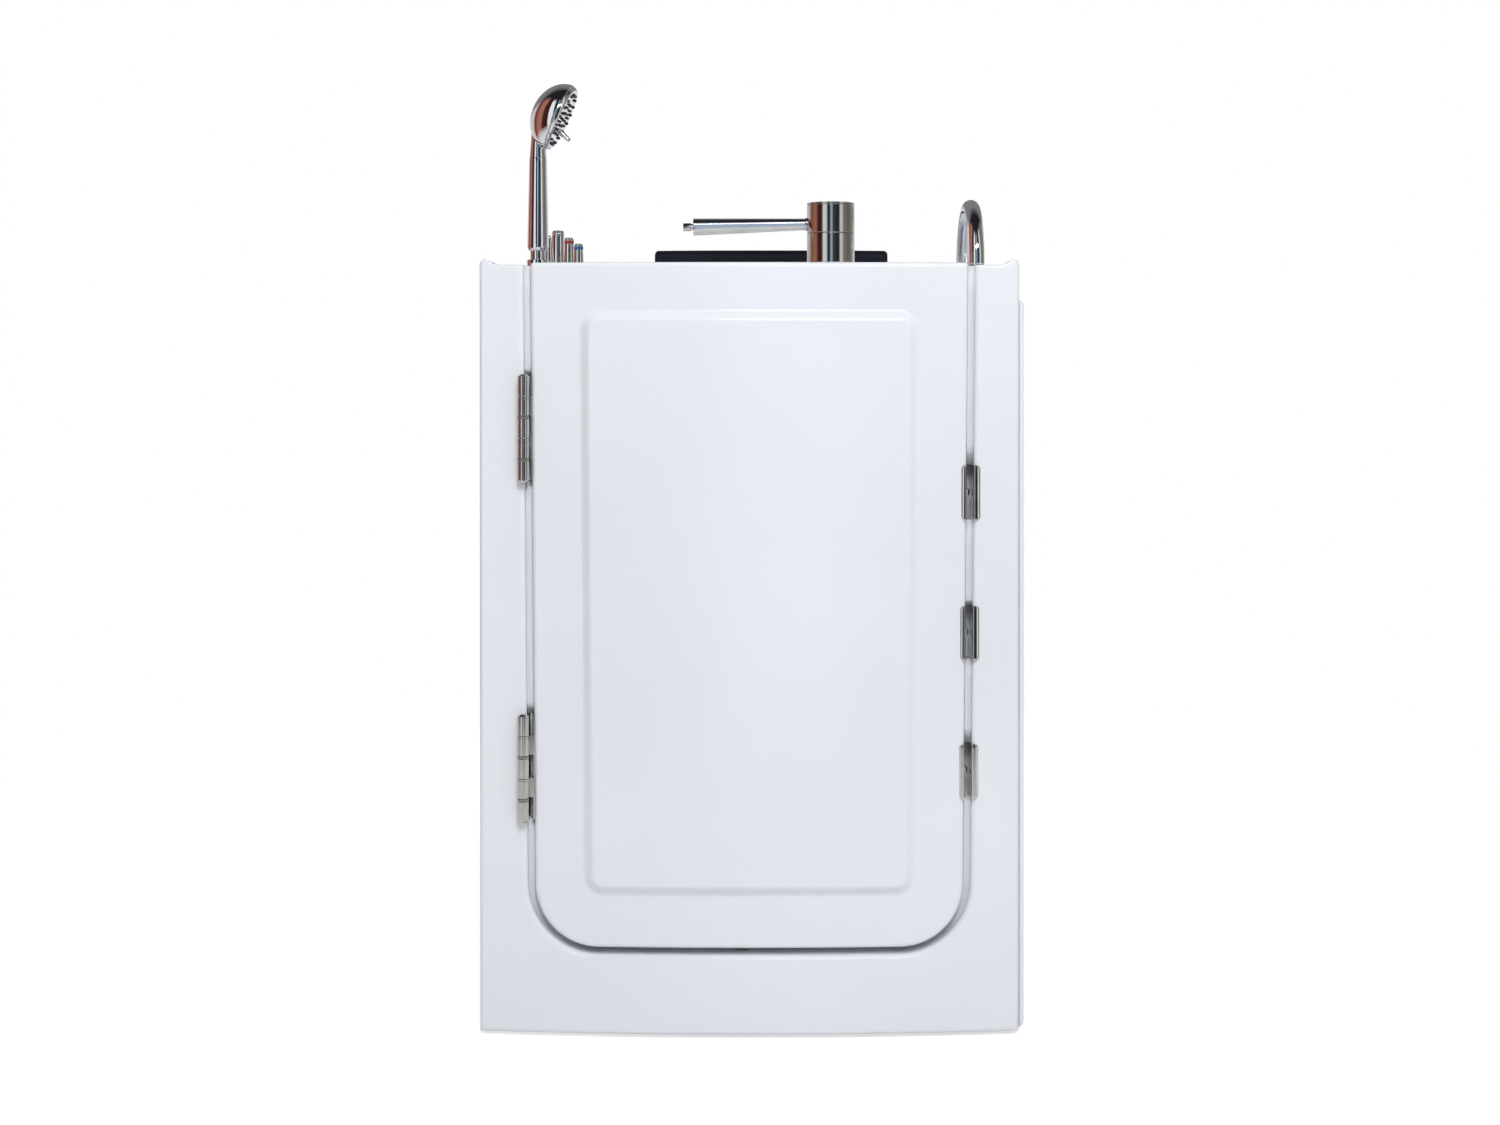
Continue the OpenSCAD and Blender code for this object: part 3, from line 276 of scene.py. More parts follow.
def cut(piece, tools):
    """Cuts the tools out of the piece and removes them."""
    for tool in tools:
        modifier = piece.modifiers.new("cut", "BOOLEAN")
        modifier.operation = "DIFFERENCE"
        modifier.solver = "EXACT"
        modifier.object = tool
    applied(piece)
    for tool in tools:
        bpy.data.objects.remove(tool)


def soften(piece, width, segments, rule=None):
    """Rounds the hard edges to width millimetres, or only those whose rule(middle, direction) is true."""
    mesh = piece.data
    work = bmesh.new()
    work.from_mesh(mesh)
    weights = []
    for edge in work.edges:
        hard = len(edge.link_faces) == 2 and edge.calc_face_angle(0) > math.radians(HARD_ANGLE)
        a, b = (v.co * 1000 - PLACE for v in edge.verts)
        weights.append(1.0 if hard and (rule is None or rule((a + b) / 2, (b - a).normalized())) else 0.0)
    work.free()
    attribute = mesh.attributes.new("bevel_weight_edge", "FLOAT", "EDGE")
    attribute.data.foreach_set("value", weights)
    modifier = piece.modifiers.new("bevel", "BEVEL")
    modifier.limit_method = "WEIGHT"
    modifier.width = width / 1000
    modifier.segments = segments
    modifier.use_clamp_overlap = False
    modifier.miter_outer = "MITER_SHARP"
    shade(piece)


def shade(piece):
    """Smooth shading, with normals that keep the flat faces flat."""
    piece.data.polygons.foreach_set("use_smooth", [True] * len(piece.data.polygons))
    piece.modifiers.new("normals", "WEIGHTED_NORMAL").keep_sharp = True
    applied(piece)
    mesh = piece.data
    if "bevel_weight_edge" in mesh.attributes:
        mesh.attributes.remove(mesh.attributes["bevel_weight_edge"])


def drill(a, b, radius, sides=48):
    """A closed cylinder between two points, to cut a hole with."""
    a, b = Vector(a), Vector(b)
    side = (b - a).orthogonal().normalized()
    up = (b - a).cross(side).normalized()
    net = Net()
    ends = [net.ring(circle(centre, radius, side, up, sides)) for centre in (a, b)]
    net.tube(ends)
    return new_piece("hole", net)


def arc_round(before, at, after, radius, steps):
    """2 * steps + 1 points round a corner of a flat outline."""
    a, b = (before - at).normalized(), (after - at).normalized()
    half = a.angle(b) / 2
    centre = at + (a + b).normalized() * (radius / math.sin(half))
    first = at + a * (radius / math.tan(half)) - centre
    turn = math.pi - 2 * half
    side = -1 if a.x * b.y - a.y * b.x > 0 else 1
    points = []
    for i in range(2 * steps + 1):
        t = side * turn * i / (2 * steps)
        points.append(centre + Vector((
            first.x * math.cos(t) - first.y * math.sin(t), first.x * math.sin(t) + first.y * math.cos(t)
        )))
    return points


def ring(corners, counts, steps=6):
    """Outline of four sides with round corners (x, z, r), each side from mid-corner to mid-corner."""
    flat = [Vector(c[:2]) for c in corners]
    arcs = [arc_round(flat[i - 1], flat[i], flat[(i + 1) % 4], corners[i][2], steps) for i in range(4)]
    points = []
    for i, count in enumerate(counts):
        a, b = arcs[i][-1], arcs[(i + 1) % 4][0]
        points += arcs[i][steps:]
        points += [a.lerp(b, k / count) for k in range(1, count)]
        points += arcs[(i + 1) % 4][:steps]
    return points


class Net:
    """Points and faces of a mesh made of rings and patches."""

    def __init__(self):
        self.points, self.faces = [], []

    def ring(self, points):
        start = len(self.points)
        self.points += [Vector(p) for p in points]
        return list(range(start, len(self.points)))

    def strip(self, a, b, closed=True):
        for i in range(len(a) if closed else len(a) - 1):
            j = (i + 1) % len(a)
            self.faces.append((a[i], a[j], b[j], b[i]))

    def loft(self, rings, closed=True):
        for a, b in zip(rings, rings[1:]):
            self.strip(a, b, closed)

    def tube(self, rings):
        """Rings joined to a closed body, with a flat face at each end."""
        self.loft(rings)
        self.faces += [tuple(rings[0]), tuple(rings[-1])]

    def patch(self, edge, n, m, settle):
        """Fills a ring of sides n, m, n, m with a grid, whose inner points settle onto the surface."""

        def at(i, j):
            if j == 0:
                return edge[i]
            if i == n:
                return edge[n + j]
            if j == m:
                return edge[(n + m + n - i) % len(edge)]
            if i == 0:
                return edge[(2 * n + m + m - j) % len(edge)]
            return inner[i, j]

        inner = {}
        p = self.points
        grid = [(i, j) for i in range(1, n) for j in range(1, m)]
        for i, j in grid:
            u, v = i / n, j / m
            top, bottom = p[edge[i]], p[edge[n + m + n - i]]
            left, right = p[edge[(2 * n + 2 * m - j) % len(edge)]], p[edge[n + j]]
            corners = (
                p[edge[0]] * (1 - u) * (1 - v) + p[edge[n]] * u * (1 - v)
                + p[edge[n + m]] * u * v + p[edge[2 * n + m]] * (1 - u) * v
            )
            point = top * (1 - v) + bottom * v + left * (1 - u) + right * u - corners
            inner[i, j] = len(self.points)
            self.points.append(settle(point))
        for i in range(n):
            for j in range(m):
                self.faces.append((at(i, j), at(i + 1, j), at(i + 1, j + 1), at(i, j + 1)))


def dressed(node, material, width):
    """A piece from a copy of a CAD node's mesh: its flat faces made whole, its edges rounded."""
    source = frame["nodes"][node]
    work = bmesh.new()
    work.from_mesh(source.data)
    work.transform(source.matrix_world)
    bmesh.ops.remove_doubles(work, verts=work.verts, dist=0.00001)
    bmesh.ops.dissolve_limit(
        work, angle_limit=math.radians(1), verts=work.verts, edges=work.edges, use_dissolve_boundaries=False
    )
    mesh = bpy.data.meshes.new(node + "_piece")
    work.to_mesh(mesh)
    work.free()
    if "custom_normal" in mesh.attributes:
        mesh.attributes.remove(mesh.attributes["custom_normal"])
    piece = placed(node + "_piece", mesh)
    soften(piece, width, 2)
    finish_piece(piece, BODY_OF[node], material, [node])


def turned_piece(name, profile, base, axis, body, material, nodes=(), sides=64):
    """A turned piece: its profile (radius, height) goes round an axis from a point."""
    axis = Vector(axis).normalized()
    side = axis.orthogonal().normalized()
    up = axis.cross(side)
    net = Net()
    rings = []
    for radius, height in profile:
        centre = Vector(base) + axis * height
        if radius == 0:
            rings.append(net.ring([centre]))
            continue
        rings.append(net.ring(circle(centre, radius, side, up, sides)))
    for a, b in zip(rings, rings[1:]):
        if len(a) == 1 or len(b) == 1:
            tip, rim = (a[0], b) if len(a) == 1 else (b[0], a)
            net.faces += [(tip, rim[i], rim[(i + 1) % sides]) for i in range(sides)]
        else:
            net.strip(a, b)
    shade(new_piece(name, net, body, material, nodes))


# -------- door

SIDE_COUNTS, STEPS = (32, 30, 32, 30), 8
DOOR_EDGE_R = 6.0
PANEL_Z, PANEL_TOP_Z, PANEL_HALF, PANEL_R = 188.0, RIM - 64, 208.0, 18.0
PANEL_RISE, PANEL_SLOPE = 7.0, 16.0


def door_corners(grow, top_r):
    """The door's corners (x, z, r), grown outwards."""
    top, bottom, r = door_half(DOOR_RIM) + grow, DOOR_BOTTOM + grow, DOOR_R + grow
    z0, z1 = DOOR_Z - grow, DOOR_RIM + grow
    return (-top, z1, top_r), (top, z1, top_r), (bottom, z0, r), (-bottom, z0, r)


def panel_corners(grow):
    """The raised panel's corners, grown outwards, its sides in line with the door's."""
    z0, z1 = PANEL_Z - grow, PANEL_TOP_Z + grow
    top, r = PANEL_HALF + grow, PANEL_R + grow
    bottom = top - door_half(z1) + door_half(z0)
    return (-top, z1, r), (top, z1, r), (bottom, z0, r), (-bottom, z0, r)


def between(a, b, t):
    """Corners a share t of the way from a to b."""
    return tuple(tuple(p + (q - p) * t for p, q in zip(c, d)) for c, d in zip(a, b))


def door_skin():
    """The outer skin: rounded edge, bowed front and the raised panel's soft slope, with a hollow back."""
    net = Net()

    def lay(corners, depth):
        return net.ring([(p.x, depth(p.x), p.y) for p in ring(corners, SIDE_COUNTS, STEPS)])

    rings = [lay(door_corners(0, 4), lambda x: DOOR_D)]
    for a in quarter(5):
        inset, lift = DOOR_EDGE_R * (1 - math.cos(a)), DOOR_EDGE_R * (1 - math.sin(a))
        rings.append(lay(door_corners(-inset, max(4 - inset / 2, 1.5)), lambda x, lift=lift: bow(x) + lift))
    outer, foot = door_corners(-DOOR_EDGE_R, 2), panel_corners(PANEL_SLOPE / 2)
    for k in (1, 2, 3):
        rings.append(lay(between(outer, foot, k / 4), bow))
    for t in (k / 12 for k in range(13)):
        rise = PANEL_RISE * (t * t * (3 - 2 * t))
        rings.append(lay(panel_corners(PANEL_SLOPE * (0.5 - t)), lambda x, rise=rise: bow(x) - rise))
    net.loft(rings)
    n, m = SIDE_COUNTS[0] + 2 * STEPS, SIDE_COUNTS[1] + 2 * STEPS
    net.patch(rings[-1], n, m, lambda p: Vector((p.x, bow(p.x) - PANEL_RISE, p.z)))
    back = door_corners(-DOOR_SKIN, 2)
    inner = [lay(back, lambda x: DOOR_D), lay(back, lambda x: bow(x) + DOOR_SKIN)]
    net.loft([rings[0]] + inner)
    net.patch(inner[1], n, m, lambda p: Vector((p.x, bow(p.x) + DOOR_SKIN, p.z)))
    piece = new_piece("door_skin", net, "door", GELCOAT, ["door_outer_skin"])
    shaft_hole, nose_hole = 6.5, 6.3
    holes = [drill((SHAFT_X, SHAFT_Y, DOOR_RIM - 10), (SHAFT_X, SHAFT_Y, DOOR_RIM + 5), shaft_hole)]
    holes += [drill((door_half(z) - 10, BOLT_Y, z), (door_half(z) + 2, BOLT_Y, z), nose_hole) for z in BOLTS]
    cut(piece, holes)
    shade(piece)


door_skin()


# -------- front surround

# Counts of steps on a U-shaped path: down a side, half round its corner, and along the bottom
SIDES, CORNER, ACROSS = 24, 8, 28
FRONT_BOTTOM = 5.0
BEAD_H, BEAD_FADE = 7.0, 17.0


def bead(d):
    """Height of the rim's raised bead at a distance from the tub's outer side."""
    if d < BEAD_H:
        return BEAD_H * math.sqrt(max(0.0, 1 - ((BEAD_H - d) / BEAD_H) ** 2))
    return BEAD_H * math.cos(math.pi / 2 * min(1, (d - BEAD_H) / BEAD_FADE)) ** 2


def both_sides(left, middle):
    """A path from its left side and its middle."""
    return left + middle + [Vector((-p.x, p.y)) for p in reversed(left)]


def outer_path(inset, bottom=FRONT_BOTTOM):
    """Down the left side, along the bottom and up the right side of the surround."""
    x0, x1 = HALF_W - inset, HALF_W - 1 - inset
    z0 = bottom + inset
    knee_z, knee_x = DOOR_Z + DOOR_R, DOOR_BOTTOM - DOOR_R
    top = RIM + bead(inset)

    def side(z):
        return Vector((-x1 - (x0 - x1) * (z - z0) / (RIM - z0), z))

    left = [side(top + (knee_z - top) * k / SIDES) for k in range(SIDES + 1)]
    left += [side(knee_z + (z0 - knee_z) * k / CORNER) for k in range(1, CORNER + 1)]
    left += [Vector((-x1 + (x1 - knee_x) * k / CORNER, z0)) for k in range(1, CORNER + 1)]
    return both_sides(left, [Vector((-knee_x + 2 * knee_x * k / ACROSS, z0)) for k in range(1, ACROSS)])


def opening_path(grow, corner_steps=CORNER):
    """The door's outline grown outwards: down its left side, along its bottom and up its right side."""
    start = Vector((-door_half(RIM) - grow, RIM))
    corner = Vector((-DOOR_BOTTOM - grow, DOOR_Z - grow))
    arc = arc_round(start, corner, Vector((0, corner.y)), DOOR_R + grow, corner_steps)
    a = arc[-1]
    left = [start.lerp(arc[0], k / SIDES) for k in range(SIDES)] + arc
    return both_sides(left, [Vector((a.x - 2 * a.x * k / ACROSS, a.y)) for k in range(1, ACROSS)])


def band(name, stations, back):
    """A U-shaped band. Each station is a path and the depth of its front; the back is flat."""
    net = Net()
    fronts = [net.ring([(p.x, depth(p.x), p.y) for p in path]) for path, depth in stations]
    backs = [net.ring([(p.x, back, p.y) for p in path]) for path, depth in stations]
    for lines in (fronts, backs, (fronts[0], backs[0]), (fronts[-1], backs[-1])):
        net.loft(lines, closed=False)
    for end in (0, -1):
        net.strip([line[end] for line in fronts], [line[end] for line in backs], closed=False)
    return new_piece(name, net)


def surround():
    """The front from its outer edge to the opening's flange, hollowed from behind."""
    edge, lip, fillet, rim = 5.0, 7.0, 5.0, 2.0
    stations = [
        (outer_path(edge * (1 - math.cos(t))), lambda x, t=t: bow(x) + edge * (1 - math.sin(t)))
        for t in quarter(4)
    ]
    stations += [(outer_path(inset), bow) for inset in (7, 9.5, 12, 15, 18, 21, 24)]
    a, b = outer_path(24), opening_path(GAP + lip)
    stations += [([p.lerp(q, k / 4) for p, q in zip(a, b)], bow) for k in (1, 2, 3)]
    stations += [
        (opening_path(GAP + lip * (1 - math.sin(t))), lambda x, t=t: bow(x) + lip * (1 - math.cos(t)))
        for t in quarter(5)
    ]
    turned = [(GAP - 0.6 - fillet * (1 - math.cos(t)), fillet * (math.sin(t) - 1)) for t in quarter(4)]
    turned += [(GAP - REACH + rim * (1 - math.sin(t)), rim * (1 - math.cos(t))) for t in quarter(3)]
    stations += [(opening_path(grow), lambda x, y=y: FLANGE_Y + y) for grow, y in turned]
    piece = band("front_band", stations, SHELL_Y)

    def inside(x):
        return bow(x) + FRONT_SKIN

    a, b = outer_path(FRONT_SKIN, bottom=-8.0), opening_path(GAP + FRONT_SKIN)
    inner = [(a, inside)] + [([p.lerp(q, k / 4) for p, q in zip(a, b)], inside) for k in (1, 2, 3, 4)]
    for path, depth in inner:
        path[0].y = path[-1].y = RIM - FRONT_SKIN
    tools = [band("hollow", inner, SHELL_Y + 2)]
    for z in BOLTS:
        x = door_half(z) + GAP
        tools.append(drill((x - 2, BOLT_Y, z), (x + 12, BOLT_Y, z), BOLT_HOLE))
    ledge = DOOR_Z - GAP
    tools.append(drill((WEEP_X, WEEP_Y, ledge - 14.5), (WEEP_X, WEEP_Y, ledge + 11.5), WEEP_R))
    cut(piece, tools)
    soften(piece, 4.0, 3, lambda middle, along: middle.z > RIM - 1 and abs(along.x) > 0.5 and middle.y < 30)
    finish_piece(piece, "tub", GELCOAT, ["front_surround"])


def weep_grommet():
    """Turned grommet in the ledge, round the weep hole."""
    profile = [(4.6, -6), (7.6, -6), (7.6, 0.1), (9.3, 0.1), (9.4, 0.5), (8.9, 0.9), (6.6, 1.1), (5.6, 0.7)]
    profile += [(4.6, -0.6), (4.6, -6)]
    place = (WEEP_X, WEEP_Y, DOOR_Z - GAP)
    turned_piece("weep_ring", profile, place, UP, "tub", STEEL, ["weep_grommet"])


surround()
weep_grommet()


# -------- tub shell

FOOT_Z, SEAT_Y, SEAT_Z = 76.0, 600.0, 470.0
SEAT_LEAN, SEAT_FALL, BACK_LEAN, BACK_TOP = 25.0, 12.0, 70.0, 60.0
SIDE_DECK, REAR_DECK = 87.0, 110.0
WELL_HALF, WELL_REAR = HALF_W - SIDE_DECK, LENGTH - REAR_DECK
WELL_DRAFT, WELL_OVER = 8.0, 30.0
DRAIN_Y, DRAIN_R = 330.0, 25.0
DECK_R, PLAN_R = 9.0, 20.0

# Steps round the well's bottom corners and across its floor, and points along its sides
TURN, FLAT, SIDE = 6, 10, 23


def well_path(top):
    """The well's middle line, from its front over floor and seat up the backrest: points and normals."""
    front = SHELL_Y + WALL
    corners = [
        (front, top, 0), (front, FOOT_Z, 40), (SEAT_Y, FOOT_Z, 60), (SEAT_Y + SEAT_LEAN, SEAT_Z, 40),
        (WELL_REAR - BACK_LEAN, SEAT_Z - SEAT_FALL, 80), (WELL_REAR, RIM - BACK_TOP, 90), (WELL_REAR, top, 0),
    ]
    flat = [Vector(c[:2]) for c in corners]
    points = [flat[0]]
    for i in range(1, len(flat) - 1):
        arc = arc_round(flat[i - 1], flat[i], flat[i + 1], corners[i][2], 5)
        last = points[-1]
        count = max(2, round((arc[0] - last).length / 60))
        points += [last.lerp(arc[0], k / count) for k in range(1, count)]
        points += arc
    points += [points[-1].lerp(flat[-1], k / 3) for k in (1, 2)] + [flat[-1]]
    normals = []
    for i in range(len(points)):
        along = (points[min(i + 1, len(points) - 1)] - points[max(i - 1, 0)]).normalized()
        normals.append(Vector((-along.y, along.x)))
    return points, normals


def well_half(z):
    """Half the well's width at a height: its sides lean in towards its floor."""
    top = RIM + WELL_OVER
    return WELL_HALF - WELL_DRAFT * (top - z) / (top - FOOT_Z)


def trough(net, top, grow):
    """The well's surface, grown outwards. Returns its top ring."""
    front_r, rear_r, fade = 7.0, 45.0, 60.0
    turns = quarter(TURN)[1:]
    spots = [(-1, t) for t in reversed(turns)]
    spots += [(2 * k / FLAT - 1, 0.0) for k in range(FLAT + 1)]
    spots += [(1, t) for t in turns]
    rows = []
    for p, n in zip(*well_path(top)):
        share = min(1.0, max(0.0, (p.x - SHELL_Y - WALL) / fade))
        r = front_r + (rear_r - front_r) * share + grow
        row = []
        for side, t in spots:
            lift = r * (1 - math.cos(t)) - grow
            y, z = p.x + n.x * lift, min(p.y + n.y * lift, top)
            row.append((side * (well_half(z) + grow - r + r * math.sin(t)), y, z))
        rows.append(net.ring(row))
    net.loft(rows, closed=False)
    sides = []
    for end in (0, -1):
        a, b = net.points[rows[0][end]], net.points[rows[-1][end]]
        line = net.ring([a.lerp(b, k / (SIDE + 1)) for k in range(1, SIDE + 1)])
        net.faces.append(tuple([row[end] for row in rows] + line[::-1]))
        sides.append(line)
    left, right = sides
    return rows[0] + right + rows[-1][::-1] + left[::-1]


def ways_out():
    """Ways outwards in plan at the top ring's points: along the front, the right side, the rear, the left."""
    across = [(-math.sin(t), math.cos(t)) for t in reversed(quarter(TURN)[1:])]
    across += [(0, 1)] * (FLAT + 1)
    across += [(math.sin(t), math.cos(t)) for t in quarter(TURN)[1:]]
    ways = [(x, -y) for x, y in across] + [(1, 0)] * SIDE + across[::-1] + [(-1, 0)] * SIDE
    return [Vector(way) for way in ways]


def shell_outline(net, edge, ways, d, front, z_side=None, z_front=None):
    """A ring on the shell's outline, d from its sides and rear. Without heights it follows rim and bead."""
    r = max(PLAN_R - d, 1.0)
    x0, y0, y1 = HALF_W - d - r, SHELL_Y + front, LENGTH - d - r
    # About where the well's straight sides begin, how long they are, and half its straight rear
    side_y, side_len, rear_half = 70.0, WELL_REAR - 115.0, WELL_HALF - 40.0
    pinch = 6.0
    points = []
    for p, way in zip(edge, ways):
        sign = 1 if p.x > 0 else -1
        if way.y < 0 and way.x:
            x, y = sign * (x0 + r - (1 - abs(way.x)) * pinch), y0
        elif way.y < 0:
            x, y = p.x * (x0 + r) / (WELL_HALF + DECK_R), y0
        elif way.y > 0 and way.x:
            x, y = sign * x0 + r * way.x, y1 + r * way.y
        elif way.y > 0:
            x, y = p.x * x0 / rear_half, y1 + r
        else:
            share = (p.y - side_y) / side_len
            x, y = sign * (x0 + r), y0 + 2 + (y1 - y0 - 4) * min(1, max(0, share))
        at_front = way.y < 0 and abs(way.x) < 0.99
        if z_side is None:
            z = RIM + bead(HALF_W - abs(x) if at_front else d)
        else:
            z = z_front if at_front else z_side
        points.append((x, y, z))
    return net.ring(points)


def tub_shell():
    """The moulded shell: well with seat, deck with its bead, turned-down lips, doorway and drain hole."""
    net = Net()
    rings = [trough(net, RIM - DECK_R, 0.0)]
    outer = trough(net, RIM - WALL, WALL)
    ways = ways_out()
    well_edge = [net.points[i] for i in rings[0]]
    for a in quarter(5)[1:]:
        spread, z = DECK_R * (1 - math.cos(a)), RIM - DECK_R + DECK_R * math.sin(a)
        rings.append(net.ring([
            (p.x + way.x * spread, p.y + way.y * spread * (0.4 if way.y < 0 else 1.0), z)
            for p, way in zip(well_edge, ways)
        ]))
    edge = [net.points[i] for i in rings[-1]]
    for d in (44, 24, 21, 18, 15, 12, 10, 8.5, 7, 5.5, 4, 2.7, 1.6, 0.8, 0.2, 0.0):
        rings.append(shell_outline(net, edge, ways, d, 0.3 + 0.03 * d))
    rings.append(shell_outline(net, edge, ways, 0.0, 0.15, RIM - LIP_H, RIM - 1.5))
    rings.append(shell_outline(net, edge, ways, WALL, 4.0, RIM - LIP_H, RIM - 2.5))
    rings.append(shell_outline(net, edge, ways, WALL, 4.0, RIM - WALL, RIM - 4.0))
    net.loft(rings + [outer])
    piece = new_piece("shell", net, "tub", GELCOAT, ["tub_shell"])

    path = opening_path(GAP - REACH)
    path[0].y = path[-1].y = RIM + 30
    doorway = Net()
    ends = [doorway.ring([(p.x, y, p.y) for p in path]) for y in (SHELL_Y - 3, SHELL_Y + WALL + 4)]
    doorway.tube(ends)
    drain = drill((0, DRAIN_Y, FOOT_Z - 20), (0, DRAIN_Y, FOOT_Z + 20), DRAIN_R)
    cut(piece, [drain, new_piece("doorway", doorway)])
    shade(piece)


tub_shell()


# -------- groove strips and latch plates


def groove_stations(side):
    """The opening's edge down and round its corner: points, ways to the door, and share of the corner."""
    steps = 10
    path = opening_path(GAP, steps)
    stations = []
    for i in range(SIDES + 2 * steps + 1):
        along = (path[i + 1] - path[max(i - 1, 0)]).normalized()
        point, inwards = Vector((path[i].x * -side, path[i].y)), Vector((along.y * side, along.x))
        stations.append((point, inwards, max(0, i - SIDES) / (2 * steps)))
    return stations


# Stretches of strip between hinges or latches, from height to height; the last ones go round the corner
LEFT_RUNS = ((RIM - 1, 837.4), (704.6, 408.4), (275.6, None))
RIGHT_RUNS = ((RIM - 1, 724.4), (653.6, 546.4), (475.6, 371.4), (300.6, None))
STRIP_BACK = FLANGE_Y - 0.3


def groove_strip(net, side, top, bottom, reach, deep):
    """One stretch: hollow in front, and set back more round the corner. reach and deep are its widths."""
    sunk, corner_sunk = 6.0, 27.0
    line = [s for s in groove_stations(side) if s[0].y < top - 4 and (bottom is None or s[0].y > bottom + 4)]
    line.insert(0, (Vector((side * (door_half(top) + GAP), top)), Vector((-side, 0)), 0.0))
    if bottom is not None:
        line.append((Vector((side * (door_half(bottom) + GAP), bottom)), Vector((-side, 0)), 0.0))
    rings = []
    for point, inwards, share in line:
        front = bow(point.x) + sunk + corner_sunk * share
        section = [(-0.3, 0), (0.8, 1.2), (2.2, 3.4), (4.2, 5.2)]
        section += [(reach - 0.9, 6.0), (reach - 0.2, 6.4), (reach, 7.2)]
        section = [(u, front + y) for u, y in section] + [(deep, STRIP_BACK), (-0.3, STRIP_BACK)]
        rings.append(net.ring([(point.x + inwards.x * u, y, point.y + inwards.y * u) for u, y in section]))
    net.tube(rings)


def groove_strips():
    """Soft strips in the groove round the door, and narrow ones behind the hinges."""
    net = Net()
    for top, bottom in LEFT_RUNS:
        groove_strip(net, -1, top, bottom, GAP - 1.0, GAP - 1.0)
    for top, bottom in RIGHT_RUNS:
        groove_strip(net, 1, top, bottom, GAP - 0.9, GAP - 2.1)
    for z in HINGES:
        ends = []
        for level in (z + 65.5, z - 65.5):
            x = -door_half(level) - GAP
            section = ((x + 2.5, 20.6), (x + 6.4, 20.0), (x + 6.4, STRIP_BACK), (x + 2.5, STRIP_BACK))
            ends.append(net.ring([(u, y, level) for u, y in section]))
        net.tube(ends)
    piece = new_piece("groove_strips", net, "tub", STRIP, ["doorway_strips"])
    shade(piece)


PLATE_HALF, PLATE_HOLE = 35.0, 6.4


def plate_rows(net, width, side, z):
    """Rows of points on a plate's front and back, from its bottom to its top."""
    half, corner, roll, proud, deep = PLATE_HALF, 5.0, 1.8, 2.4, 28.0
    x = door_half(z - side * half) + (GAP - 0.05 if side > 0 else 0.05)
    section = [(0.0, deep), (0.0, 3.2), (0.2, 1.6), (0.8, 0.5), (roll, 0.0)]
    shares = ((0.4, 0.15), (0.6, 0.5), (0.8, 1.1), (0.93, 1.7), (1.0, 2.3))
    section += [(width * share, y) for share, y in shares]
    behind = [(2.0, deep), (2.0, 3.4), (2.0, 2.6), (2.1, 2.4), (2.4, 2.3)]
    shares = ((0.45, 2.3), (0.7, 2.35), (0.8, 2.4), (0.93, 2.45))
    behind += [(width * share, y) for share, y in shares] + [(width - 0.1, 2.5)]
    ends = [corner * (1 - math.cos(t)) for t in quarter(5)]
    levels = [-half + e for e in ends]
    levels += [-22, -PLATE_HOLE - 2, -PLATE_HOLE, 0, PLATE_HOLE, PLATE_HOLE + 2, 22]
    levels += [half - e for e in reversed(ends)]
    fronts, backs = [], []
    for level in levels:
        near = max(0.0, abs(level) - (half - corner)) / corner
        trim = corner * (1 - math.sqrt(max(0.0, 1 - near * near)))
        for outline, rows in ((section, fronts), (behind, backs)):
            row = []
            for u, y in outline:
                u = min(u, width - trim) if u > roll else u
                follow = bow(x + side * u) - bow(x) + 0.6 * near**3 if u > 0.5 else 0.0
                row.append((x + side * u, bow(x) - proud + y + follow, z + level))
            rows.append(net.ring(row))
    return fronts, backs


def edge_plates(name, body, width, side, node):
    """Bright plates beside each bolt: a rolled front with round corners, and a flange in the gap."""
    net, holes = Net(), []
    for z in BOLTS:
        fronts, backs = plate_rows(net, width, side, z)
        net.loft(fronts, closed=False)
        net.loft(backs, closed=False)
        for end in (0, -1):
            net.strip(fronts[end], backs[end], closed=False)
            net.strip([row[end] for row in fronts], [row[end] for row in backs], closed=False)
    piece = new_piece(name, net, body, PLATE, [node])
    for z in BOLTS:
        x = door_half(z) if side < 0 else door_half(z) + GAP
        holes.append(drill((x - 6, BOLT_Y, z), (x + 6, BOLT_Y, z), PLATE_HOLE))
    cut(piece, holes)
    shade(piece)


def hinge_seams():
    """Fine dark seams round the barrels, between their bearings."""
    r, y = BARREL_D / 2, bow(HINGE_X) - BARREL_D / 2 - 0.35
    half = [(r - 0.3, -0.4), (r + 0.04, -0.4), (r + 0.1, -0.2)]
    profile = half + [(u, -z) for u, z in reversed(half)]
    profile.append(profile[0])
    for k, z in enumerate((807.3, 754.4, 380.1, 326.5)):
        place = (-HINGE_X, y, z)
        turned_piece(f"hinge_seam_{k}", profile, place, UP, "tub", WASHER, sides=48)


groove_strips()
hinge_seams()
edge_plates("door_plates", "door", 7.0, -1, "latch_plates")
edge_plates("keeper_plates_rolled", "tub", 9.0, 1, "keeper_plates")


# -------- headrest


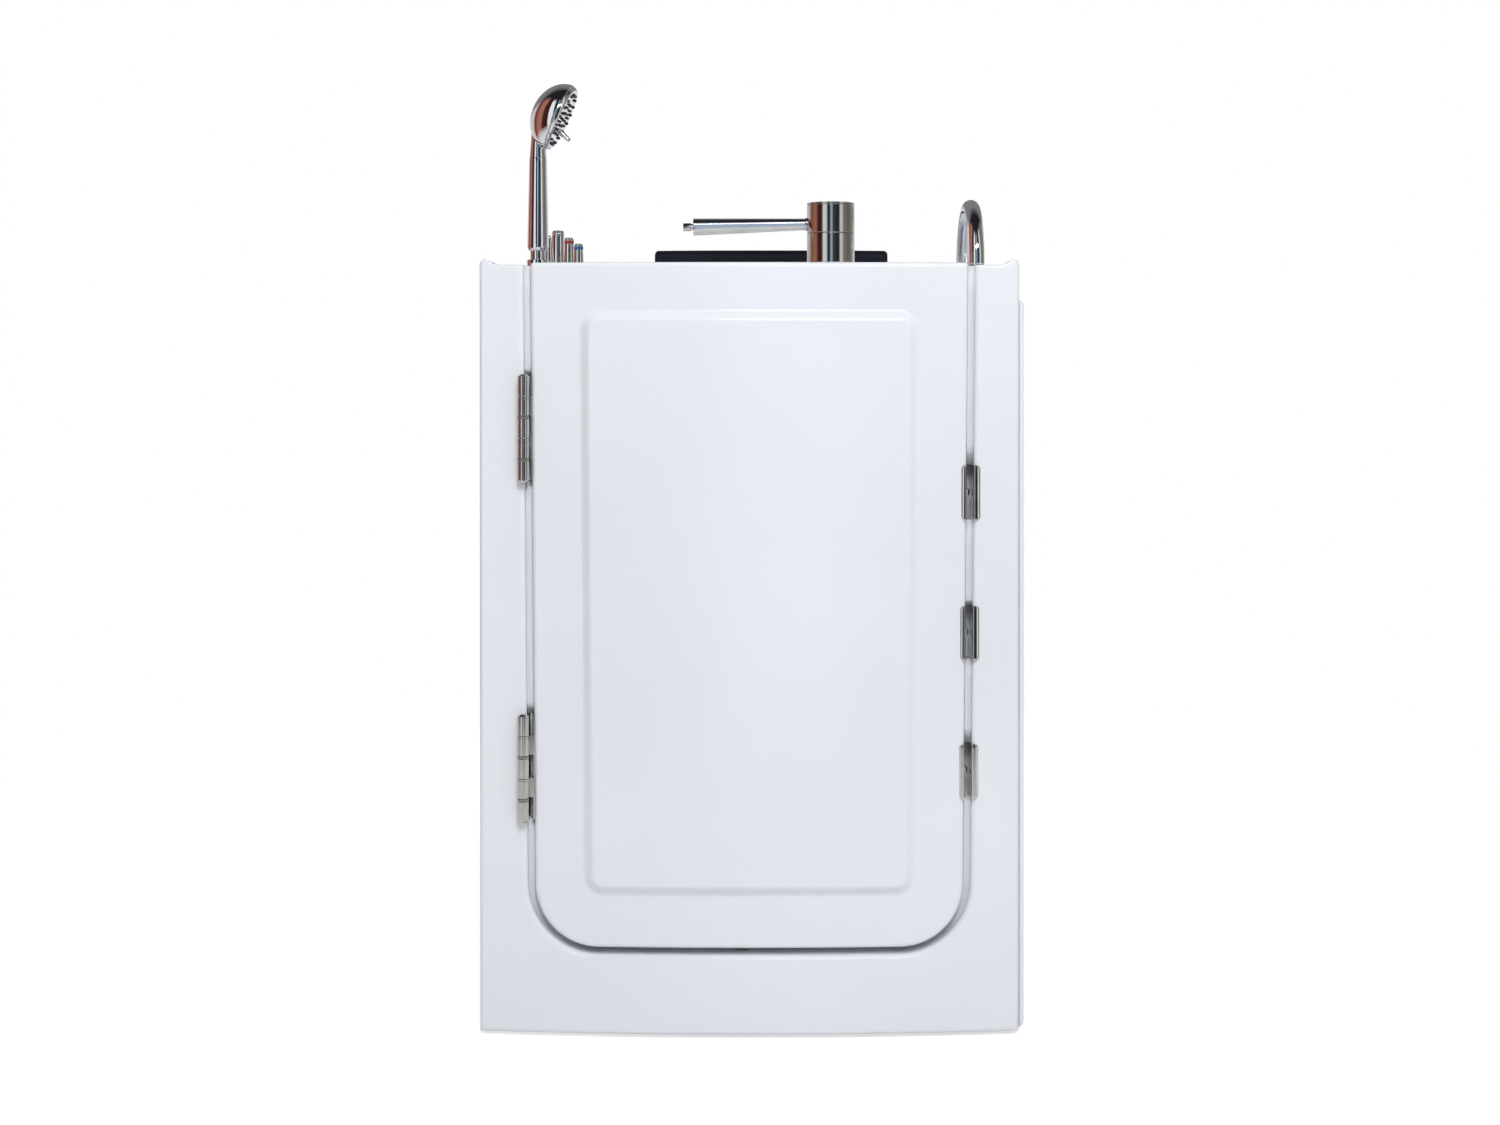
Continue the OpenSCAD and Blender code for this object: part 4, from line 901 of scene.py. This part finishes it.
def headrest():
    """A firm moulded foam bar: crowned on top, its long sides drawn in between its corners."""
    half, depth, height, count, steps = 216.2, 36.8, 90.3, 10, 5
    drawn_in, hollow, raised, bulge = 4.5, 1.8, 1.5, 0.035
    middle = Vector((22.6, LENGTH - 74.0, RIM + 0.6))
    net = Net()

    def section(x, shrink):
        slim = depth - shrink - hollow * (1 - (x / half) ** 2)
        low, high = min(shrink, 5.0), height - shrink - raised
        tops, feet = max(13 - shrink, 5.0), max(8 - shrink, 3.0)
        corners = ((-slim, high, tops), (slim, high, tops), (slim, low, feet), (-slim, low, feet))
        points = []
        for q in ring(corners, (count,) * 4, steps):
            up = q.y / height
            lean = drawn_in * (1 - up) * (x / half) ** 7
            crown = raised * (1 - (q.x / depth) ** 2) * (1 - (x / half) ** 4) if up > 0.5 else 0.0
            belly = 1 - bulge * math.sin(math.pi * min(up, 1))
            across = (x + lean) * (half - drawn_in * (1 - up)) / half
            points.append(middle + Vector((across, q.x * belly, q.y + crown)))
        return net.ring(points)

    radius, along = 7.0, 28
    ends = [(half - radius * (1 - math.sin(t)), radius * (1 - math.cos(t))) for t in reversed(quarter(6))]
    stations = [(-x, shrink) for x, shrink in ends]
    inner = half - radius
    stations += [(-inner + 2 * inner * k / along, 0.0) for k in range(1, along)]
    stations += [(x, shrink) for x, shrink in reversed(ends)]
    rings = [section(x, shrink) for x, shrink in stations]
    net.loft(rings)
    side = count + 2 * steps
    for end in (rings[0], rings[-1]):
        net.patch(end, side, side, lambda q: q)
    piece = new_piece("headrest_pad", net, "tub", FOAM, ["headrest"])
    shade(piece)


headrest()


# -------- swept and turned chrome


def swept_piece(name, stations, body, nodes=(), sides=48):
    """A round chrome bar through stations (centre, radius), its rings square to its path."""
    net = Net()
    centres = [Vector(c) for c, r in stations]
    rings, side = [], None
    for i, radius in enumerate(r for c, r in stations):
        along = (centres[min(i + 1, len(centres) - 1)] - centres[max(i - 1, 0)]).normalized()
        side = along.orthogonal() if side is None else side - along * side.dot(along)
        side = side.normalized()
        rings.append(net.ring(circle(centres[i], radius, side, along.cross(side), sides)))
    net.tube(rings)
    shade(new_piece(name, net, body, CHROME, nodes))


SHOWER = Vector((-285.0, 144.0, 0.0))
HANDLE_Z, HANDLE_LEN = RIM + 26, 124.0
FACE = Vector((-255.8, 144.0, HANDLE_Z + HANDLE_LEN + 53.8))
TILT = math.radians(115.3)
FACE_X = Vector((math.cos(TILT), 0, -math.sin(TILT)))
FACE_Z = Vector((math.sin(TILT), 0, math.cos(TILT)))
FACE_Y = Vector((0, 1, 0))
FACE_R = 47.0


def hand_shower():
    """The head's domed shell, and the neck that bends to it from the handle."""
    r, deep = FACE_R, 37.5
    shell = [(0, -deep)] + [(r * math.cos(t), -deep * math.sin(t)) for t in reversed(quarter(24)[1:-1])]
    shell += [(r, -0.6), (r - 0.5, -0.1), (r - 1.4, 0), (r - 2, -3), (0, -3)]
    turned_piece("shower_shell", shell, FACE, FACE_Z, "handset", CHROME, ["shower_head"], sides=96)
    neck = (
        (0, 0.2, 10.6), (0, 0.5, 11.2), (0, 3, 11.2), (0, 14, 10.3), (0, 22, 9.7), (0.6, 30, 9.9),
        (2, 38, 11), (4, 46, 13), (6, 52, 13.5),
    )
    foot = SHOWER + Vector((0, 0, HANDLE_Z + HANDLE_LEN))
    swept_piece("shower_neck", [(foot + Vector((dx, 0, h)), radius) for dx, h, radius in neck], "handset")


def nozzles():
    """Short rubber nozzles in three circles."""
    net = Net()
    for count, radius, size in ((6, 10, 1.9), (12, 22, 1.9), (18, 36, 2.1)):
        for k in range(count):
            t = 2 * math.pi * (k + 0.5) / count
            foot = FACE + radius * (math.cos(t) * FACE_X + math.sin(t) * FACE_Y)
            rings = []
            for h, w in ((4.9, size), (7.0, size * 0.8), (7.7, size * 0.5)):
                rings.append(net.ring(circle(foot + FACE_Z * h, w, FACE_X, FACE_Y, 16)))
            net.tube(rings)
    shade(new_piece("nozzles", net, "spray", NOZZLE, ["spray_nozzles"]))


def spray_face():
    """The face plate, with the selector's finger standing on it."""
    r = FACE_R
    plate = [(0, 0.3), (r - 1.6, 0.3), (r - 1.4, 0.7), (r - 2.2, 3.2), (r - 3.2, 4.7), (r - 4.6, 5.2)]
    plate += [(r - 7, 5.1), (r - 8, 4.7), (0, 4.7)]
    turned_piece("face_plate", plate, FACE, FACE_Z, "spray", CHROME, ["spray_face"], sides=96)
    steps = [(0.0, 2.6), (0.15, 3.5), (0.5, 3.4), (0.85, 3.1), (0.94, 2.7), (0.985, 1.7), (1.0, 0.5)]
    foot, tip = FACE + FACE_X * 15 + FACE_Z * 4.5, FACE + FACE_X * 22 + FACE_Z * 25
    swept_piece("selector_finger", [(foot.lerp(tip, t), radius) for t, radius in steps], "spray", sides=24)


def grab_bar():
    """A half circle of bar that stands in the deck, in line with the tub's side."""
    x, y, r, bar_r = 300.0, 126.0, 80.0, 11.0
    low, high, steps = RIM - 5.5, RIM + 9.0, 40
    path = [(x, y, low), (x, y, high)]
    for k in range(1, steps):
        t = math.pi * k / steps
        path.append((x, y + r - r * math.cos(t), high + r * math.sin(t)))
    path += [(x, y + 2 * r, high), (x, y + 2 * r, low)]
    swept_piece("grab_handle", [(p, bar_r) for p in path], "tub", ["grab_bar"])


hand_shower()
nozzles()
spray_face()
grab_bar()


# -------- end caps of the frame's low rails


def rail_caps():
    """Moulded caps that close the square tubes' open ends."""
    net = Net()
    half, r, rail_x, z = 14.8, 2.2, 316.5, 47.0
    for x in (-rail_x, rail_x):
        for y, out in ((LENGTH - 24, 1), (SHELL_Y + 20, -1)):
            rings = []
            for inset, lift in ((0.2, 0.1), (0.0, 0.5), (0.0, 1.6), (0.4, 2.2), (1.4, 2.5)):
                h = half - inset
                outline = ring(((-h, h, r), (h, h, r), (h, -h, r), (-h, -h, r)), (4, 4, 4, 4), 3)
                rings.append(net.ring([(x + q.x, y + out * lift, z + q.y) for q in outline]))
            net.tube(rings)
    shade(new_piece("rail_caps", net, "tub", BLACK))


rail_caps()


# -------- other pieces from the CAD's solids

# Width of each node's rounded edges, in millimetres
PLAIN = (
    (GELCOAT, {"side_skirt": 1.5, "door_inner_skin": 2.5}),
    (STEEL, {"hinge_frame_leaves": 0.5, "hinge_door_leaves": 0.5}),
    (WASHER, {"hinge_washers": 0.3}),
    (TURNED, {"lever_base": 0.8, "lever_head": 0.6, "lever_cap": 0.4}),
    (BRIGHT, {"lever_arm": 0.8, "lever_tip": 0.5}),
    (BOLT_STEEL_PAINTED_GLINT, {"bolt_upper": 0.5, "bolt_middle": 0.5, "bolt_lower": 0.5}),
    (CHROME, {
        "shower_holder": 0.8, "shower_handle": 0.6, "tap_bodies": 0.8, "diverter_knob": 0.8, "hot_knob": 0.8,
        "cold_knob": 0.8, "tub_spout": 1.0, "drain_lever_base": 0.5, "drain_lever": 0.5, "drain_body": 0.6,
        "drain_plug": 0.6, "overflow_plate": 1.0, "grab_flanges": 0.8,
    }),
)

# Nodes that keep the CAD's mesh
SAME = {
    "skirt_screws": CHROME, "support_frame": FRAME_STEEL, "leveling_feet": FRAME_STEEL,
    "foot_lock_nuts": FRAME_STEEL, "door_seal": SEAL, "hinge_pins": STEEL, "hinge_screws": STEEL,
    "door_hinge_screws": STEEL, "bolt_guides": BLACK, "shaft_bearings": BLACK, "lock_shaft": STEEL,
    "lock_cranks": STEEL, "hot_ring": RED, "cold_ring": BLUE, "supply_pipes": COPPER, "waste_pipe": WASTE,
}

for material, widths in PLAIN:
    for node, width in widths.items():
        dressed(node, material, width)
for node, material in SAME.items():
    mesh = frame["nodes"][node].data
    mesh.materials.clear()
    mesh.materials.append(material)


# -------- stage and light


def number(tree, operation, a, b):
    """The operation's result for a and b, each of them a plain number or a node's output."""
    node = tree.nodes.new("ShaderNodeMath")
    node.operation = operation
    for socket, value in zip(node.inputs, (a, b)):
        if isinstance(value, float):
            socket.default_value = value
        else:
            tree.links.new(value, socket)
    return node.outputs[0]


def rays(tree, *kinds):
    """1 for rays of these kinds, and 0 for all others."""
    path = tree.nodes.new("ShaderNodeLightPath")
    total = path.outputs[f"Is {kinds[0]} Ray"]
    for kind in kinds[1:]:
        total = number(tree, "MAXIMUM", total, path.outputs[f"Is {kind} Ray"])
    return total


def mixed(tree, share, a, b):
    """Look a where the share is 0, and b where it is 1."""
    node = tree.nodes.new("ShaderNodeMixShader")
    for socket, value in zip(node.inputs, (share, a, b)):
        tree.links.new(value, socket)
    return node.outputs[0]


def glow(tree, color, strength=1.0, kind="ShaderNodeEmission"):
    """An even light, its colour plain or a node's output."""
    node = tree.nodes.new(kind)
    if isinstance(color, tuple):
        node.inputs["Color"].default_value = (*color, 1)
    else:
        tree.links.new(color, node.inputs["Color"])
    node.inputs["Strength"].default_value = strength
    return node.outputs[0]


# What polished metal shows of the room, by the angle round the object: 0 in front, more to the right
ROOM = (
    (-180, (0.80, 0.82, 0.86)), (-122, (0.62, 0.60, 0.60)), (-112, (0.14, 0.024, 0.018)),
    (-92, (0.40, 0.16, 0.11)), (-78, (0.44, 0.20, 0.14)), (-66, (0.10, 0.018, 0.014)),
    (-44, (0.03, 0.008, 0.008)), (-38, (0.95, 0.95, 0.97)), (-22, (0.90, 0.92, 0.95)),
    (-17, (0.006, 0.008, 0.014)), (-5, (0.012, 0.02, 0.03)), (-1, (0.50, 0.62, 0.80)),
    (5, (0.42, 0.54, 0.72)), (9, (0.010, 0.03, 0.07)), (20, (0.05, 0.07, 0.07)), (28, (0.012, 0.016, 0.014)),
    (40, (0.03, 0.03, 0.028)), (46, (0.88, 0.88, 0.88)), (56, (0.80, 0.80, 0.79)), (62, (0.26, 0.26, 0.235)),
    (96, (0.16, 0.16, 0.14)), (122, (0.34, 0.33, 0.31)), (134, (0.74, 0.74, 0.75)), (180, (0.80, 0.82, 0.86)),
)


def stripes(tree, axes):
    """The room's colour in a direction from the object."""
    angle = number(tree, "ARCTAN2", axes["X"], number(tree, "MULTIPLY", axes["Y"], -1.0))
    bands = tree.nodes.new("ShaderNodeValToRGB")
    stops = bands.color_ramp.elements
    stops[0].color, stops[-1].color = (*ROOM[0][1], 1), (*ROOM[-1][1], 1)
    for degrees, color in ROOM[1:-1]:
        stops.new((degrees + 180) / 360).color = (*color, 1)
    tree.links.new(ramp(tree, angle, -math.pi, math.pi), bands.inputs["Fac"])
    return bands.outputs["Color"]


def directions(tree, name):
    """A coordinate of the shaded point as a whole, and its three parts."""
    place = tree.nodes.new("ShaderNodeTexCoord").outputs[name]
    parts = tree.nodes.new("ShaderNodeSeparateXYZ")
    tree.links.new(place, parts.inputs[0])
    return place, parts.outputs


def floor_material():
    """White to the camera but for the object's shadow. Metal sees the room in it, away from the object."""
    material = bpy.data.materials.new("studio_floor")
    material.use_nodes = True
    tree = material.node_tree
    tree.nodes.clear()
    diffuse = tree.nodes.new("ShaderNodeBsdfDiffuse")
    diffuse.inputs["Color"].default_value = (0.82, 0.82, 0.82, 1)
    place, axes = directions(tree, "Object")
    distance = tree.nodes.new("ShaderNodeVectorMath")
    distance.operation = "LENGTH"
    tree.links.new(place, distance.inputs[0])
    metres = distance.outputs["Value"]
    shadow = tree.nodes.new("ShaderNodeAddShader")
    tree.links.new(diffuse.outputs[0], shadow.inputs[0])
    tree.links.new(glow(tree, (1, 1, 1), 0.62), shadow.inputs[1])
    away, far = ramp(tree, metres, 0.9, 1.8), ramp(tree, metres, 1.6, 3.2)
    white = mixed(tree, away, shadow.outputs[0], glow(tree, (1, 1, 1)))
    room = mixed(tree, far, glow(tree, (0.78, 0.78, 0.79)), glow(tree, stripes(tree, axes)))
    shown = mixed(tree, rays(tree, "Glossy"), diffuse.outputs[0], room)
    out = tree.nodes.new("ShaderNodeOutputMaterial")
    tree.links.new(mixed(tree, rays(tree, "Camera", "Transmission"), shown, white), out.inputs["Surface"])
    return material


def studio_floor(half):
    """A large square floor below the feet."""
    mesh = bpy.data.meshes.new("studio_floor")
    corners = [(x * half, y * half, 0) for x, y in ((-1, -1), (1, -1), (1, 1), (-1, 1))]
    mesh.from_pydata(corners, [], [(0, 1, 2, 3)])
    mesh.materials.append(floor_material())
    plane = placed("studio_floor", mesh)


def studio_world():
    """White to the camera, soft light on the object, and a room in its reflections."""
    world = bpy.data.worlds.new("studio")
    bpy.context.scene.world = world
    world.use_nodes = True
    tree = world.node_tree
    tree.nodes.clear()

    def sky(color, strength=1.0):
        return glow(tree, color, strength, "ShaderNodeBackground")

    axes = directions(tree, "Generated")[1]
    ceiling = sky(ramp(tree, axes["Y"], 0.15, 0.55, (0.016, 0.016, 0.020), (0.22, 0.22, 0.225)))
    behind = number(tree, "MAXIMUM", number(tree, "MULTIPLY", axes["Y"], 0.7), 0.0)
    height = number(tree, "ADD", axes["Z"], behind)
    room = mixed(tree, ramp(tree, height, 0.74, 0.86), sky(stripes(tree, axes)), ceiling)
    lit = mixed(tree, rays(tree, "Glossy"), sky((0.93, 0.95, 1.0), 0.35), room)
    shown = mixed(tree, rays(tree, "Camera", "Transmission"), lit, sky((1, 1, 1)))
    out = tree.nodes.new("ShaderNodeOutputWorld")
    tree.links.new(shown, out.inputs["Surface"])


def light(name, location, target, size, power, mirrored=False):
    """A rectangular lamp turned to its target, in metres and watts. Only a mirrored one shows in metal."""
    data = bpy.data.lights.new(name, "AREA")
    data.shape = "RECTANGLE"
    data.size, data.size_y = size
    data.energy = power
    lamp = placed(name, data)
    lamp.location = location
    lamp.rotation_euler = (Vector(target) - Vector(location)).to_track_quat("-Z", "Y").to_euler()
    lamp.visible_glossy = mirrored


studio_floor(40)
light("key", (0.25, -3.1, 2.9), (0.0, -0.5, 0.85), (0.9, 1.8), 62)
light("fill", (2.6, -2.6, 1.4), (0, 0, 0.6), (1.6, 2.0), 7)
light("top", (0.0, 0.2, 3.6), (0, 0, 0), (2.4, 2.4), 15)
light("tube", (0.55, -2.66, 2.39), (0.0, -0.6, 0.8), (1.5, 0.26), 11, mirrored=True)
light("back", (-1.6, 3.2, 2.0), (0, 0, 0.7), (2.0, 2.0), 16)
studio_world()

bpy.context.scene.view_settings.view_transform = "Standard"
